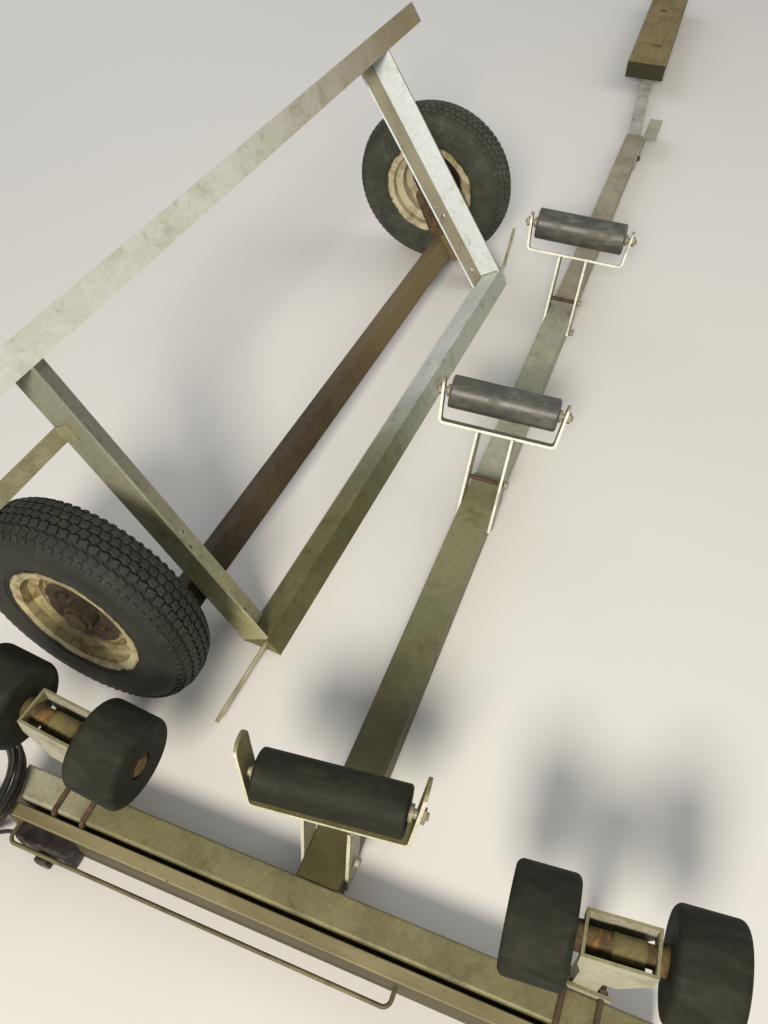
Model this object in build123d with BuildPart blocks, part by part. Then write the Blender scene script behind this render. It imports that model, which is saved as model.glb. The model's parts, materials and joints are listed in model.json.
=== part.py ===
"""Boat trailer taken apart for storage, in millimetres.

The road base is a hurdle of angle iron with its axle beam and two wheels. It is tipped over,
so that its lower rail lies on the floor. Beside it lies the keel frame: telescoping square
tubes with three keel rollers, a cross beam with two pairs of bilge rollers and a lighting
board, and a drawbar with its timber and its ball coupling.

X points forward along the spine, Y to the left and Z up. The pieces are drawn with the origin
on the floor where the spine meets the middle of the cross beam. The last lines move them so
that the origin is on the floor under the middle of the whole trailer.
"""

from build123d import *

import os
from math import atan2, cos, radians, sin, tan

# Telescoping spine: square tubes, each sliding in the one behind it
spine_wall = 3.0
slide_overlap = 120.0
# name, front end of the tube, outside of its section
spine_tubes = [
    ("spine_rear", 1080.0, 80.0),
    ("spine_middle", 1906.0, 73.0),
    ("spine_front", 3090.0, 66.0),
    ("drawbar", 4850.0, 46.0),
]
# The drawbar is loose in its tube and swings to the left in it
drawbar_swing_angle = 4.6

# Timber on the drawbar
timber_start = 3679.0
timber_side = 68.0
timber_angle = 2.0
timber_width = 162.0
timber_thickness = 65.0
timber_chamfer = 3.0
timber_bolt_r = 5.5
timber_end_gap = 30.0
timber_bolt_shares = [0.21, 0.65, 0.93]

# Slot in the top of the drawbar, just behind the timber
slot_setback = 40.0
slot_width = 30.0
slot_length = 9.0

# Side bracket of the winch post, on the right of the front tube
winch_bracket_start = 2915.0
winch_bracket_length = 345.0
winch_bracket_height = 56.0
winch_bracket_thickness = 5.0
winch_shelf_length = 180.0
winch_shelf_width = 44.0
winch_hole_r = 6.5
winch_hole_inset = 45.0

# Ball coupling
ball_r = 25.0
ball_play = 0.2
coupling_overlap = 120.0
coupling_width = 62.0
coupling_height = 68.0
coupling_nose_r = 42.0
coupling_nose_gap = 48.0
ball_centre_z = 24.0
coupling_fillet = 8.0
coupling_bolt_r = 6.5
coupling_bolts_at = [30.0, 90.0]
lever_width = 24.0
lever_thickness = 8.0
lever_length = 150.0
lever_rise = 34.0
lever_forward = 6.0
lever_bend_r = 12.0

# Cross beam
beam_size = 60.0
beam_wall = 4.0
beam_half_length = 600.0

# Keel rollers and their leaning brackets of flat bar
bar_width = 50.0
bar_thickness = 6.0
bracket_bend_r = 14.0
base_half_width = 142.0
arm_splay_angle = 6.0
arm_tip_r = 22.0
pin_r = 8.0
running_play = 0.05
leg_ground_gap = 4.0
keel_roller_length = 260.0
keel_roller_edge = 6.0
nut_r = 14.0
nut_height = 9.0
spacer_r = 15.0
spacer_play = 0.4
# name, place of the foot, leg length, arm length, pin above the base, roller radius, index of its tube
keel_brackets = [
    ("rear", 80.0, 200.0, 160.0, 68.0, 44.0, 0),
    ("middle", 962.0, 234.0, 108.0, 78.0, 40.0, 0),
    ("front", 1800.0, 222.0, 108.0, 80.0, 44.0, 1),
]
# How far each bracket leans forward, and how far its cradle is twisted on its legs
lean_angles = {"rear": 8.0, "middle": 34.0, "front": 30.0}
twist_angles = {"rear": 7.0, "middle": 8.0, "front": 5.0}

# Bilge roller pairs on posts clamped to the cross beam
post_size = 40.0
post_wall = 3.0
post_y = 470.0
post_foot_z = 14.0
clamp_thickness = 6.0
clamp_half_width = 44.0
clamp_rim = 14.0
u_bolt_r = 5.0
u_bolt_spread = 30.0
u_bolt_thread = 24.0
u_bolt_nut_r = 9.0
u_bolt_nut_height = 8.0
u_bolt_bend = 8.0
cradle_y = 485.0
cradle_height = 275.0
cradle_tilt = 4.0
cradle_toe = 4.0
cradle_length = 110.0
cradle_width = 70.0
cradle_wall = 5.0
cradle_rim = 25.0
cradle_floor = -38.0
cradle_shoulder = -14.0
cradle_throat = -78.0
cradle_throat_width = 52.0
bilge_axle_r = 17.0
bilge_wheel_r = 83.0
bilge_wheel_width = 100.0
bilge_wheel_edge = 12.0
bilge_wheel_gap = 12.0
bilge_recess_r = 25.0
bilge_recess_depth = 7.0
bilge_washer_r = 22.0
bilge_washer = 4.0
bilge_collar_r = 23.0

# Lighting board behind the cross beam
board_thickness = 25.0
board_height = 80.0
board_chamfer = 2.0
board_half_length = 580.0
lamp_inner_y = 436.0
lamp_length = 110.0
lamp_depth = 30.0
lamp_foot_z = 6.0
lamp_height = 66.0
lamp_fillet = 6.0
lens_r = 18.0
lens_height = 16.0
lens_z = 25.0
lens_edge = 4.0
board_rod_r = 4.0
board_rod_z = 50.0
board_rod_offset = 36.0
board_rod_right = -185.0
board_rod_left = 562.0
board_rod_bend = 14.0

# Lighting cable: a hank over the left end of the beam, with its run to the lamp and its plug
cable_r = 4.0
hank_r = 135.0
hank_section_r = 24.0
hank_centre = (-75.0, 700.0, 72.0)
hank_tilt = 18.8
plug_r = 22.0
plug_length = 78.0
plug_neck_r = 11.0
plug_neck_length = 24.0

# Road base: two legs between two rails of angle iron, tipped over onto the lower rail
base_corner = (467.0, 380.0)
base_turn = -2.7
base_length = 1560.0
leg_length = 735.0
angle_width = 75.0
angle_thickness = 6.0
lower_flange = 55.0
upper_flange = 58.0
upper_overhang = 240.0
leg_hole_r = 9.0
leg_hole_inset = 42.0
leg_holes_at = [45.0, 245.0]
small_hole_r = 4.5
small_hole_at = 282.0
small_hole_inset = 56.0
end_plate_thickness = 5.0
end_plate_margin = 3.0
rail_rod_r = 4.5
rail_rod_play = 0.1
rail_rod_inset = 9.0
rail_rod_near = -205.0
rail_rod_straight = 60.0
rail_rod_bent = 235.0
rail_rod_angle = 10.0
rail_rod_bend_r = 60.0
stay_width = 35.0
stay_thickness = 6.0
stay_length = 240.0
stay_at = 600.0
stay_tab = 40.0

# Axle beam with trailing arms
axle_size = 60.0
axle_wall = 5.0
axle_at = 154.0
axle_drop = 49.5
axle_near_overhang = 74.0
axle_far_setback = 22.0
pad_length = 92.0
pad_width = 48.0
arm_plate = 22.0
arm_big_r = 36.0
arm_small_r = 25.0
wheel_drop = 39.0
wheel_offset = 100.3
spindle_r = 15.0
spindle_shoulder_r = 24.0
spindle_gap = 1.0

# Wheels
tyre_r = 252.0
tyre_half_width = 62.0
lower_wall_r = 166.0
upper_wall_r = 224.0
wall_taper = 4.0
tread_half_width = 47.0
crown_half_width = 14.0
bead_half_width = 46.0
bead_play = 0.2
flange_rake = 3.5
tyre_wall = 9.0
crown_wall = 15.0
shoulder_drop = 11.0
sidewall_r = 196.0
rim_flange_r = 143.5
rim_seat_r = 127.0
rim_well_r = 106.0
rim_sheet = 3.4
rim_half_width = 50.0
well_top_half = 28.0
well_half = 20.0
wheel_bolt_circle_r = 50.0
wheel_bolt_count = 4
wheel_bolt_hole_r = 7.0
disc_face = 18.0
disc_thickness = 4.0
disc_step = 8.0
disc_shoulder_r = 86.0
disc_dish_r = 58.0
spigot_r = 31.5
spigot_play = 0.3
hub_inner = -48.0
hub_barrel_r = 38.0
hub_flange_r = 56.0
hub_flange = 10.0
hub_nose = 42.0
hub_cap_r = 25.0
hub_cap_length = 16.0
hub_bore_depth = 78.0

pieces = {}


def keep(name, built, place=Location()):
    """Put a finished piece in its place, name it and hold it until the trailer is complete."""
    piece = built.part.moved(place)
    piece.label = name
    pieces[name] = piece


def square_tube(plane, size, wall, length):
    """A square hollow section that starts on the plane and runs along its normal."""
    with BuildPart() as tube:
        with BuildSketch(plane):
            RectangleRounded(size, size, 1.5 * wall)
            RectangleRounded(size - 2 * wall, size - 2 * wall, 0.5 * wall, mode=Mode.SUBTRACT)
        extrude(amount=length)
    return tube


# The spine: each tube lies on the bottom of the one behind it
beam_front = beam_size / 2


def tube_size(index):
    """The outside of the tube with this index, counted from the rear."""
    return spine_tubes[index][2]


def tube_top(index):
    """The height of the top of the tube with this index."""
    return index * spine_wall + tube_size(index)


def spine_plane(x, z):
    """A cross section of the spine at x, with its centre at height z."""
    return Plane(origin=(x, 0, z), x_dir=(0, 1, 0), z_dir=(1, 0, 0))


drawbar_top = tube_top(3)
drawbar_front = spine_tubes[3][1]
swing_x = spine_tubes[2][1] - slide_overlap / 2
drawbar_place = Pos(swing_x, 0, 0) * Rot(0, 0, drawbar_swing_angle) * Pos(-swing_x, 0, 0)
tube_start = beam_front
for index, (name, tube_end, size) in enumerate(spine_tubes):
    section = spine_plane(tube_start, index * spine_wall + size / 2)
    tube = square_tube(section, size, spine_wall, tube_end - tube_start)
    if name == "drawbar":
        with BuildPart() as slotted:
            add(tube.part)
            with BuildSketch(Plane.XY.offset(drawbar_top)):
                with Locations((timber_start - slot_setback, 0)):
                    SlotOverall(slot_width, slot_length, rotation=90)
            extrude(amount=-1.5 * spine_wall, mode=Mode.SUBTRACT)
        tube = slotted
    keep(name, tube, drawbar_place if name == "drawbar" else Location())
    tube_start = tube_end - slide_overlap

# Timber laid along the drawbar as far as the coupling, with one row of bolt holes
coupling_rear = drawbar_front - coupling_overlap
timber_length = coupling_rear - timber_end_gap - timber_start
with BuildPart() as timber:
    with BuildSketch(Plane.XY.offset(drawbar_top)):
        with Locations((timber_length / 2, 0)):
            Rectangle(timber_length, timber_width)
    extrude(amount=timber_thickness)
    chamfer(timber.edges().filter_by(Axis.X), timber_chamfer)
    timber_top = drawbar_top + timber_thickness
    with Locations(*[(share * timber_length, 0, timber_top) for share in timber_bolt_shares]):
        Hole(timber_bolt_r)
keep("drawbar_timber", timber, Pos(timber_start, timber_side, 0) * Rot(0, 0, timber_angle))

# Bracket of the winch post: an upright plate on the side of the front tube, with a shelf
bracket_side_y = -tube_size(2) / 2
bracket_top = tube_top(2)
with BuildPart() as winch_bracket:
    with BuildSketch(Plane.XZ.offset(-bracket_side_y)):
        bracket_middle = winch_bracket_start + winch_bracket_length / 2
        with Locations((bracket_middle, bracket_top - winch_bracket_height / 2)):
            Rectangle(winch_bracket_length, winch_bracket_height)
            with GridLocations(winch_bracket_length - 2 * winch_hole_inset, 0, 2, 1):
                Circle(winch_hole_r, mode=Mode.SUBTRACT)
    extrude(amount=winch_bracket_thickness)
    shelf_x = winch_bracket_start + winch_bracket_length - winch_shelf_length / 2
    shelf_y = bracket_side_y - winch_bracket_thickness - winch_shelf_width / 2
    with BuildSketch(Plane.XY.offset(bracket_top)):
        with Locations((shelf_x, shelf_y)):
            Rectangle(winch_shelf_length, winch_shelf_width)
            Circle(winch_hole_r, mode=Mode.SUBTRACT)
    extrude(amount=-winch_bracket_thickness)
keep("winch_bracket", winch_bracket)

# Ball coupling over the front of the drawbar
ball_x = drawbar_front + coupling_nose_gap
drawbar_size = tube_size(3)
with BuildPart() as coupling:
    with BuildSketch(Plane.XY):
        with Locations(((coupling_rear + ball_x) / 2, 0)):
            Rectangle(ball_x - coupling_rear, coupling_width)
        with Locations((ball_x, 0)):
            Circle(coupling_nose_r)
    extrude(amount=coupling_height)
    fillet(coupling.faces().sort_by(Axis.Z)[-1].edges(), coupling_fillet)
    with BuildSketch(spine_plane(coupling_rear, drawbar_top / 2)):
        Rectangle(drawbar_size, drawbar_top)
    extrude(amount=drawbar_front - coupling_rear, mode=Mode.SUBTRACT)
    with Locations((ball_x, 0, ball_centre_z)):
        Sphere(ball_r + ball_play, mode=Mode.SUBTRACT)
    with BuildSketch(Plane.XY):
        with Locations((ball_x, 0)):
            Circle(ball_r + ball_play)
    extrude(amount=ball_centre_z, mode=Mode.SUBTRACT)
    with BuildSketch(Plane.XZ):
        with Locations(*[(coupling_rear + at, drawbar_top - drawbar_size / 2) for at in coupling_bolts_at]):
            Circle(coupling_bolt_r)
    extrude(amount=coupling_width, both=True, mode=Mode.SUBTRACT)
keep("coupling_head", coupling, drawbar_place)

with BuildPart() as lever:
    with BuildSketch(Plane.XZ):
        with BuildLine():
            handle = FilletPolyline(
                (ball_x + lever_forward, coupling_height),
                (ball_x + lever_forward, coupling_height + lever_rise * 0.45),
                (ball_x - lever_length * 0.45, coupling_height + lever_rise),
                (ball_x - lever_length, coupling_height + lever_rise * 0.6),
                radius=lever_bend_r,
            )
        trace(handle, line_width=lever_thickness)
    extrude(amount=lever_width / 2, both=True)
keep("coupling_lever", lever, drawbar_place)

# Cross beam, level with the top of the spine and against its rear end
beam_z = tube_top(0) - beam_size / 2
beam_plane = Plane(origin=(0, -beam_half_length, beam_z), x_dir=(0, 0, 1), z_dir=(0, 1, 0))
keep("cross_beam", square_tube(beam_plane, beam_size, beam_wall, 2 * beam_half_length))


# Keel rollers
def bracket_foot(foot_x, lean):
    """The middle of a bracket's foot, whose lower corner just clears the floor."""
    return Vector(foot_x, 0, bar_width / 2 * sin(lean) + leg_ground_gap)


def keel_bracket(front_view, cradle_view, leg, arm, pin_up, spine_width):
    """A bent cradle of flat bar on two flat legs that hold the sides of the spine."""
    side_view = Plane(origin=cradle_view.origin, x_dir=cradle_view.z_dir, z_dir=-cradle_view.x_dir)
    trim = 2 * bar_thickness
    arm_top = leg + arm
    rim_half_width = base_half_width + (arm + trim) * tan(radians(arm_splay_angle))
    with BuildPart() as bracket:
        with BuildSketch(cradle_view) as ribbon:
            with BuildLine():
                Polyline(
                    (-rim_half_width, arm_top + trim),
                    (-base_half_width, leg),
                    (base_half_width, leg),
                    (rim_half_width, arm_top + trim),
                    close=True,
                )
            make_face()
            fillet(ribbon.vertices().group_by(Axis.Y)[0], bracket_bend_r)
            offset(amount=-bar_thickness, mode=Mode.SUBTRACT)
            with Locations((0, arm_top + trim)):
                Rectangle(3 * base_half_width, 2 * trim, mode=Mode.SUBTRACT)
        extrude(amount=bar_width / 2, both=True)
        with BuildSketch(side_view) as silhouette:
            with Locations((0, leg + arm / 2)):
                Rectangle(bar_width, arm)
            fillet(silhouette.vertices().group_by(Axis.Y)[-1], arm_tip_r)
            with Locations((0, pin_up)):
                Circle(pin_r, mode=Mode.SUBTRACT)
        extrude(amount=2 * base_half_width, both=True, mode=Mode.INTERSECT)
        with BuildSketch(front_view):
            with Locations((0, leg / 2)):
                with GridLocations(spine_width + bar_thickness, 0, 2, 1):
                    Rectangle(bar_thickness, leg)
        extrude(amount=bar_width / 2, both=True)
    return bracket


def across(view, along, up):
    """A plane across a cradle that faces its left end, for round things on its pin."""
    return Plane(origin=view.from_local_coords((along, up, 0)), x_dir=view.y_dir, z_dir=view.x_dir)


for name, foot_x, leg, arm, pin_above_base, roller_r, tube_index in keel_brackets:
    lean = radians(lean_angles[name])
    twist = radians(twist_angles[name])
    foot = bracket_foot(foot_x, lean)
    forward = Vector(cos(lean), 0, -sin(lean))
    left = Vector(0, 1, 0)
    front_view = Plane(origin=foot, x_dir=left, z_dir=forward)
    cradle_left = left * cos(twist) - forward * sin(twist)
    cradle_forward = forward * cos(twist) + left * sin(twist)
    cradle_view = Plane(origin=foot, x_dir=cradle_left, z_dir=cradle_forward)
    pin_up = leg + pin_above_base
    bracket = keel_bracket(front_view, cradle_view, leg, arm, pin_up, tube_size(tube_index))
    keep(f"keel_bracket_{name}", bracket)

    arm_face = base_half_width + pin_above_base * tan(radians(arm_splay_angle))
    spacer_end = arm_face - 2 * bar_thickness
    spacer_start = keel_roller_length / 2 + spacer_play
    with BuildPart() as pin:
        with BuildSketch(across(cradle_view, -arm_face - nut_height, pin_up)):
            Circle(pin_r)
        extrude(amount=2 * (arm_face + nut_height))
        left_nut = across(cradle_view, arm_face, pin_up)
        right_nut = across(cradle_view, -arm_face - nut_height, pin_up)
        with BuildSketch(left_nut, right_nut):
            RegularPolygon(nut_r, 6)
        extrude(amount=nut_height)
        left_spacer = across(cradle_view, spacer_start, pin_up)
        right_spacer = across(cradle_view, -spacer_end, pin_up)
        with BuildSketch(left_spacer, right_spacer):
            Circle(spacer_r)
        extrude(amount=spacer_end - spacer_start)
    keep(f"keel_pin_{name}", pin)

    roller_face = across(cradle_view, -keel_roller_length / 2, pin_up)
    with BuildPart() as roller:
        with BuildSketch(roller_face):
            Circle(roller_r)
        extrude(amount=keel_roller_length)
        fillet(roller.edges().filter_by(GeomType.CIRCLE), keel_roller_edge)
        with BuildSketch(roller_face):
            Circle(pin_r + running_play)
        extrude(amount=keel_roller_length, mode=Mode.SUBTRACT)
    keep(f"keel_roller_{name}", roller)
    print("pin", name, across(cradle_view, 0, pin_up).origin, cradle_left)

# Bilge rollers: a post on a clamp plate, a tilted cradle on the post, an axle and two wheels
post_x = beam_front + clamp_thickness + post_size / 2
beam_top = beam_z + beam_size / 2
beam_bottom = beam_z - beam_size / 2


def cradle_planes(side):
    """The cradle seen from the front and along its axle, with the origin on the axle."""
    tilt, toe = radians(cradle_tilt), radians(cradle_toe)
    axle = Vector(sin(toe) * cos(tilt), side * cos(toe) * cos(tilt), sin(tilt)) * side
    forward = Vector(cos(toe), -side * sin(toe), 0)
    centre = (post_x, side * cradle_y, cradle_height)
    front_view = Plane(origin=centre, x_dir=axle, z_dir=forward)
    axle_view = Plane(origin=centre, x_dir=forward, z_dir=axle)
    return front_view, axle_view


for side, name in [(1, "left"), (-1, "right")]:
    front_view, axle_view = cradle_planes(side)
    up = 1 if front_view.y_dir.Z > 0 else -1
    inward = -side
    half_length = cradle_length / 2
    throat_shift = inward * (cradle_y - post_y)
    with BuildPart() as bracket:
        with BuildSketch(front_view):
            with BuildLine():
                Polyline(
                    (-half_length, up * cradle_rim),
                    (half_length, up * cradle_rim),
                    (half_length, up * cradle_shoulder),
                    (throat_shift + cradle_throat_width / 2, up * cradle_throat),
                    (throat_shift - cradle_throat_width / 2, up * cradle_throat),
                    (-half_length, up * cradle_shoulder),
                    close=True,
                )
            make_face()
        extrude(amount=cradle_width / 2, both=True)
        inner_length = cradle_length - 2 * cradle_wall
        inner_half = cradle_width / 2 - cradle_wall
        with BuildSketch(front_view):
            with Locations((0, up * (cradle_rim + cradle_floor + cradle_wall) / 2)):
                Rectangle(inner_length, cradle_rim - cradle_floor - cradle_wall)
            with Locations((0, up * (cradle_floor + cradle_throat) / 2)):
                Rectangle(2 * cradle_length, cradle_floor - cradle_throat)
        extrude(amount=inner_half, both=True, mode=Mode.SUBTRACT)
        with BuildSketch(Plane.XY.offset(post_foot_z)):
            with Locations((post_x, side * post_y)):
                Rectangle(post_size, post_size)
                Rectangle(post_size - 2 * post_wall, post_size - 2 * post_wall, mode=Mode.SUBTRACT)
        extrude(amount=cradle_height + cradle_floor - post_foot_z)
        with BuildSketch(spine_plane(beam_front, beam_z)):
            with Locations((side * post_y, 0)):
                Rectangle(2 * clamp_half_width, beam_size + 2 * clamp_rim)
                with GridLocations(2 * u_bolt_spread, beam_size + 2 * u_bolt_r, 2, 2):
                    Circle(u_bolt_r + running_play, mode=Mode.SUBTRACT)
        extrude(amount=clamp_thickness)
        with BuildSketch(axle_view):
            Circle(bilge_axle_r + running_play)
        extrude(amount=cradle_length, both=True, mode=Mode.SUBTRACT)
    keep(f"bilge_bracket_{name}", bracket)

    bolt_tip = beam_front + clamp_thickness + u_bolt_thread
    bolt_back = -beam_front - u_bolt_r
    with BuildPart() as u_bolts:
        for y in (side * post_y - u_bolt_spread, side * post_y + u_bolt_spread):
            with BuildLine() as bend:
                FilletPolyline(
                    (bolt_tip, y, beam_top + u_bolt_r),
                    (bolt_back, y, beam_top + u_bolt_r),
                    (bolt_back, y, beam_bottom - u_bolt_r),
                    (bolt_tip, y, beam_bottom - u_bolt_r),
                    radius=u_bolt_bend,
                )
            with BuildSketch(Plane(origin=bend.line @ 0, z_dir=bend.line % 0)):
                Circle(u_bolt_r)
            sweep(path=bend.line)
        with BuildSketch(spine_plane(beam_front + clamp_thickness, beam_z)):
            with Locations((side * post_y, 0)):
                with GridLocations(2 * u_bolt_spread, beam_size + 2 * u_bolt_r, 2, 2):
                    RegularPolygon(u_bolt_nut_r, 6)
        extrude(amount=u_bolt_nut_height)
    keep(f"u_bolts_{name}", u_bolts)

    wheel_start = half_length + bilge_wheel_gap
    wheel_end = wheel_start + bilge_wheel_width
    washer_at = wheel_end - bilge_recess_depth
    with BuildPart() as axle:
        with BuildSketch(axle_view):
            Circle(bilge_axle_r)
        extrude(amount=wheel_end, both=True)
        with BuildSketch(axle_view.offset(half_length + spacer_play), axle_view.offset(-wheel_start)):
            Circle(bilge_collar_r)
        extrude(amount=bilge_wheel_gap - spacer_play)
        with BuildSketch(axle_view.offset(washer_at), axle_view.offset(-washer_at - bilge_washer)):
            Circle(bilge_washer_r)
        extrude(amount=bilge_washer)
    keep(f"bilge_axle_{name}", axle)

    for end, place in [(1, "outer"), (-1, "inner")]:
        along = end * side
        first_face = wheel_start if along > 0 else -wheel_end
        recess_face = washer_at if along > 0 else -wheel_end
        with BuildPart() as wheel:
            with BuildSketch(axle_view.offset(first_face)):
                Circle(bilge_wheel_r)
            extrude(amount=bilge_wheel_width)
            fillet(wheel.edges().filter_by(GeomType.CIRCLE), bilge_wheel_edge)
            with BuildSketch(axle_view.offset(first_face)):
                Circle(bilge_axle_r + running_play)
            extrude(amount=bilge_wheel_width, mode=Mode.SUBTRACT)
            with BuildSketch(axle_view.offset(recess_face)):
                Circle(bilge_recess_r)
            extrude(amount=bilge_recess_depth, mode=Mode.SUBTRACT)
        keep(f"bilge_wheel_{name}_{place}", wheel)

# Lighting board, held against the bends of the clamp bolts
board_front = -beam_front - 2 * u_bolt_r
board_rear = board_front - board_thickness
with BuildPart() as board:
    with BuildSketch(Plane.XY):
        with Locations((board_rear + board_thickness / 2, 0)):
            Rectangle(board_thickness, 2 * board_half_length)
    extrude(amount=board_height)
    chamfer(board.edges().filter_by(Axis.Y), board_chamfer)
keep("lighting_board", board)

lamp_middle = lamp_inner_y + lamp_length / 2
for side, name in [(1, "left"), (-1, "right")]:
    with BuildPart() as lamp:
        with BuildSketch(Plane.XY.offset(lamp_foot_z)):
            with Locations((board_rear - lamp_depth / 2, side * lamp_middle)):
                Rectangle(lamp_depth, lamp_length)
        extrude(amount=lamp_height)
        rear_edges = lamp.faces().sort_by(Axis.X)[0].edges()
        fillet(rear_edges, lamp_fillet)
        with BuildSketch(spine_plane(board_rear - lamp_depth, 0)):
            with Locations((side * lamp_middle, lens_z)):
                Circle(lens_r)
        extrude(amount=-lens_height)
        fillet(lamp.faces().sort_by(Axis.X)[0].edges(), lens_edge)
    keep(f"lamp_{name}", lamp)

rod_rear = board_rear - board_rod_offset
with BuildPart() as board_rod:
    with BuildLine() as rod_path:
        FilletPolyline(
            (board_rear, board_rod_right, board_rod_z),
            (rod_rear, board_rod_right, board_rod_z),
            (rod_rear, board_rod_left, board_rod_z),
            (board_rear, board_rod_left, board_rod_z),
            radius=board_rod_bend,
        )
    with BuildSketch(Plane(origin=rod_path.line @ 0, z_dir=rod_path.line % 0)):
        Circle(board_rod_r)
    sweep(path=rod_path.line)
keep("board_rod", board_rod)

# Lighting cable: the hank over the end of the beam, the run from the lamp and the plug
hank_lean = radians(hank_tilt)
hank_plane = Plane(origin=hank_centre, x_dir=(1, 0, 0), z_dir=(0, sin(hank_lean), cos(hank_lean)))
with BuildPart() as hank:
    with BuildSketch(Plane(origin=hank_centre, x_dir=(1, 0, 0), z_dir=hank_plane.y_dir)):
        with Locations((hank_r, 0)):
            Circle(hank_section_r)
    revolve(axis=Axis(hank_centre, hank_plane.z_dir))
keep("cable_hank", hank)


def cable_run(points):
    """A stretch of the cable: straight runs joined by arcs as large as the runs allow."""
    runs = [Vector(*a) - Vector(*b) for a, b in zip(points[1:], points)]
    radii = []
    for before, after in zip(runs, runs[1:]):
        turn = radians(before.get_angle(after))
        radii.append(0.45 * min(before.length, after.length) / tan(turn / 2))
    print("cable radii", [round(radius, 1) for radius in radii])
    with BuildPart() as cable:
        with BuildLine() as path:
            FilletPolyline(*points, radius=radii)
        with BuildSketch(Plane(origin=path.line @ 0, z_dir=path.line % 0)):
            Circle(cable_r)
        sweep(path=path.line)
    return cable


lamp_outer = lamp_inner_y + lamp_length
run_points = [
    (board_rear - lamp_depth / 2, lamp_outer, 40),
    (board_rear - lamp_depth / 2, lamp_outer + 24, 40),
    (-90, 602, 26),
    (-107, 632, 14),
    (-122, 663, 14),
    (-131, 695, 19),
    (-139, 725, 28),
    (-152, 748, 37),
    (-170, 765, 42),
]
keep("cable_run", cable_run(run_points))
tail_points = [(-28, 812, 34), (-38, 790, 27), (-52, 764, 23), (-58, 737, plug_r), (-60, 709, plug_r)]
keep("cable_tail", cable_run(tail_points))
tail_end = Plane(origin=tail_points[-1], z_dir=Vector(*tail_points[-1]) - Vector(*tail_points[-2]))
with BuildPart() as plug:
    with BuildSketch(tail_end):
        Circle(plug_neck_r)
    extrude(amount=plug_neck_length)
    with BuildSketch(tail_end.offset(plug_neck_length)):
        Circle(plug_r)
    extrude(amount=plug_length - plug_neck_length)
keep("cable_plug", plug)

# Road base, drawn in a frame tipped with it: x along the rails, y up the legs, z off the legs
tip = atan2(angle_width, lower_flange - angle_thickness)
turn = radians(base_turn)
rail_dir = Vector(cos(turn), sin(turn), 0)
level_dir = Vector(-sin(turn), cos(turn), 0)
leg_dir = level_dir * cos(tip) + Vector(0, 0, sin(tip))
face_dir = level_dir * -sin(tip) + Vector(0, 0, cos(tip))
base_rise = angle_thickness * sin(tip)
base_plane = Plane(origin=(*base_corner, base_rise), x_dir=rail_dir, z_dir=face_dir)


def base_point(x, up, off):
    """A point of the tipped road base in the trailer's own frame."""
    return base_plane.from_local_coords((x, up, off))


def angle_iron(plane, foot, upright, length):
    """An angle bar with its corner on the plane's origin, run along the plane's normal."""
    with BuildPart() as bar:
        with BuildSketch(plane):
            Rectangle(foot, angle_thickness, align=(Align.MIN, Align.MIN))
            Rectangle(angle_thickness, upright, align=(Align.MIN, Align.MIN))
        extrude(amount=length)
    return bar


near_top = Plane(origin=base_point(0, leg_length, 0), x_dir=rail_dir, z_dir=-leg_dir)
far_foot = Plane(origin=base_point(base_length, 0, 0), x_dir=-rail_dir, z_dir=leg_dir)
leg_rows = [("near", near_top, 1, 0), ("far", far_foot, -1, base_length)]
for name, plane, inward, outer_x in leg_rows:
    with BuildPart() as leg_bar:
        add(angle_iron(plane, angle_width, angle_width, leg_length).part)
        with BuildSketch(base_plane):
            with Locations(*[(outer_x + inward * leg_hole_inset, at) for at in leg_holes_at]):
                Circle(leg_hole_r)
            with Locations((outer_x + inward * small_hole_inset, small_hole_at)):
                Circle(small_hole_r)
        extrude(amount=angle_thickness, mode=Mode.SUBTRACT)
    keep(f"base_leg_{name}", leg_bar)

rail_start = Plane(origin=base_point(0, 0, angle_width), x_dir=-leg_dir, z_dir=rail_dir)
rod_up = -angle_thickness - rail_rod_inset
rod_off = angle_width - angle_thickness - rail_rod_inset
with BuildPart() as lower_rail:
    add(angle_iron(rail_start, lower_flange, angle_width, base_length).part)
    for end in (0, base_length - end_plate_thickness):
        with BuildSketch(Plane(origin=base_point(end, 0, 0), x_dir=leg_dir, z_dir=rail_dir)):
            with BuildLine():
                Polyline(
                    (-angle_thickness, end_plate_margin * 2),
                    (-angle_thickness, angle_width - angle_thickness),
                    (-lower_flange + end_plate_margin * 2, angle_width - angle_thickness),
                    close=True,
                )
            make_face()
            with Locations((rod_up, rod_off)):
                Circle(rail_rod_r + rail_rod_play, mode=Mode.SUBTRACT)
        extrude(amount=end_plate_thickness)
keep("base_rail_lower", lower_rail)

rail_end = Plane(
    origin=base_point(base_length + upper_overhang, leg_length, angle_width),
    x_dir=leg_dir,
    z_dir=-rail_dir,
)
keep("base_rail_upper", angle_iron(rail_end, upper_flange, angle_width, base_length + 2 * upper_overhang))

bend_x = base_length + rail_rod_straight
rod_turn = radians(rail_rod_angle)
rod_tip = base_point(bend_x, rod_up, rod_off) + (rail_dir * cos(rod_turn) + level_dir * sin(rod_turn)) * rail_rod_bent
with BuildPart() as rail_rod:
    with BuildLine() as rod_line:
        FilletPolyline(
            base_point(rail_rod_near, rod_up, rod_off),
            base_point(bend_x, rod_up, rod_off),
            rod_tip,
            radius=rail_rod_bend_r,
        )
    with BuildSketch(Plane(origin=rod_line.line @ 0, z_dir=rod_line.line % 0)):
        Circle(rail_rod_r)
    sweep(path=rod_line.line)
keep("rail_rod", rail_rod)

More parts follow.
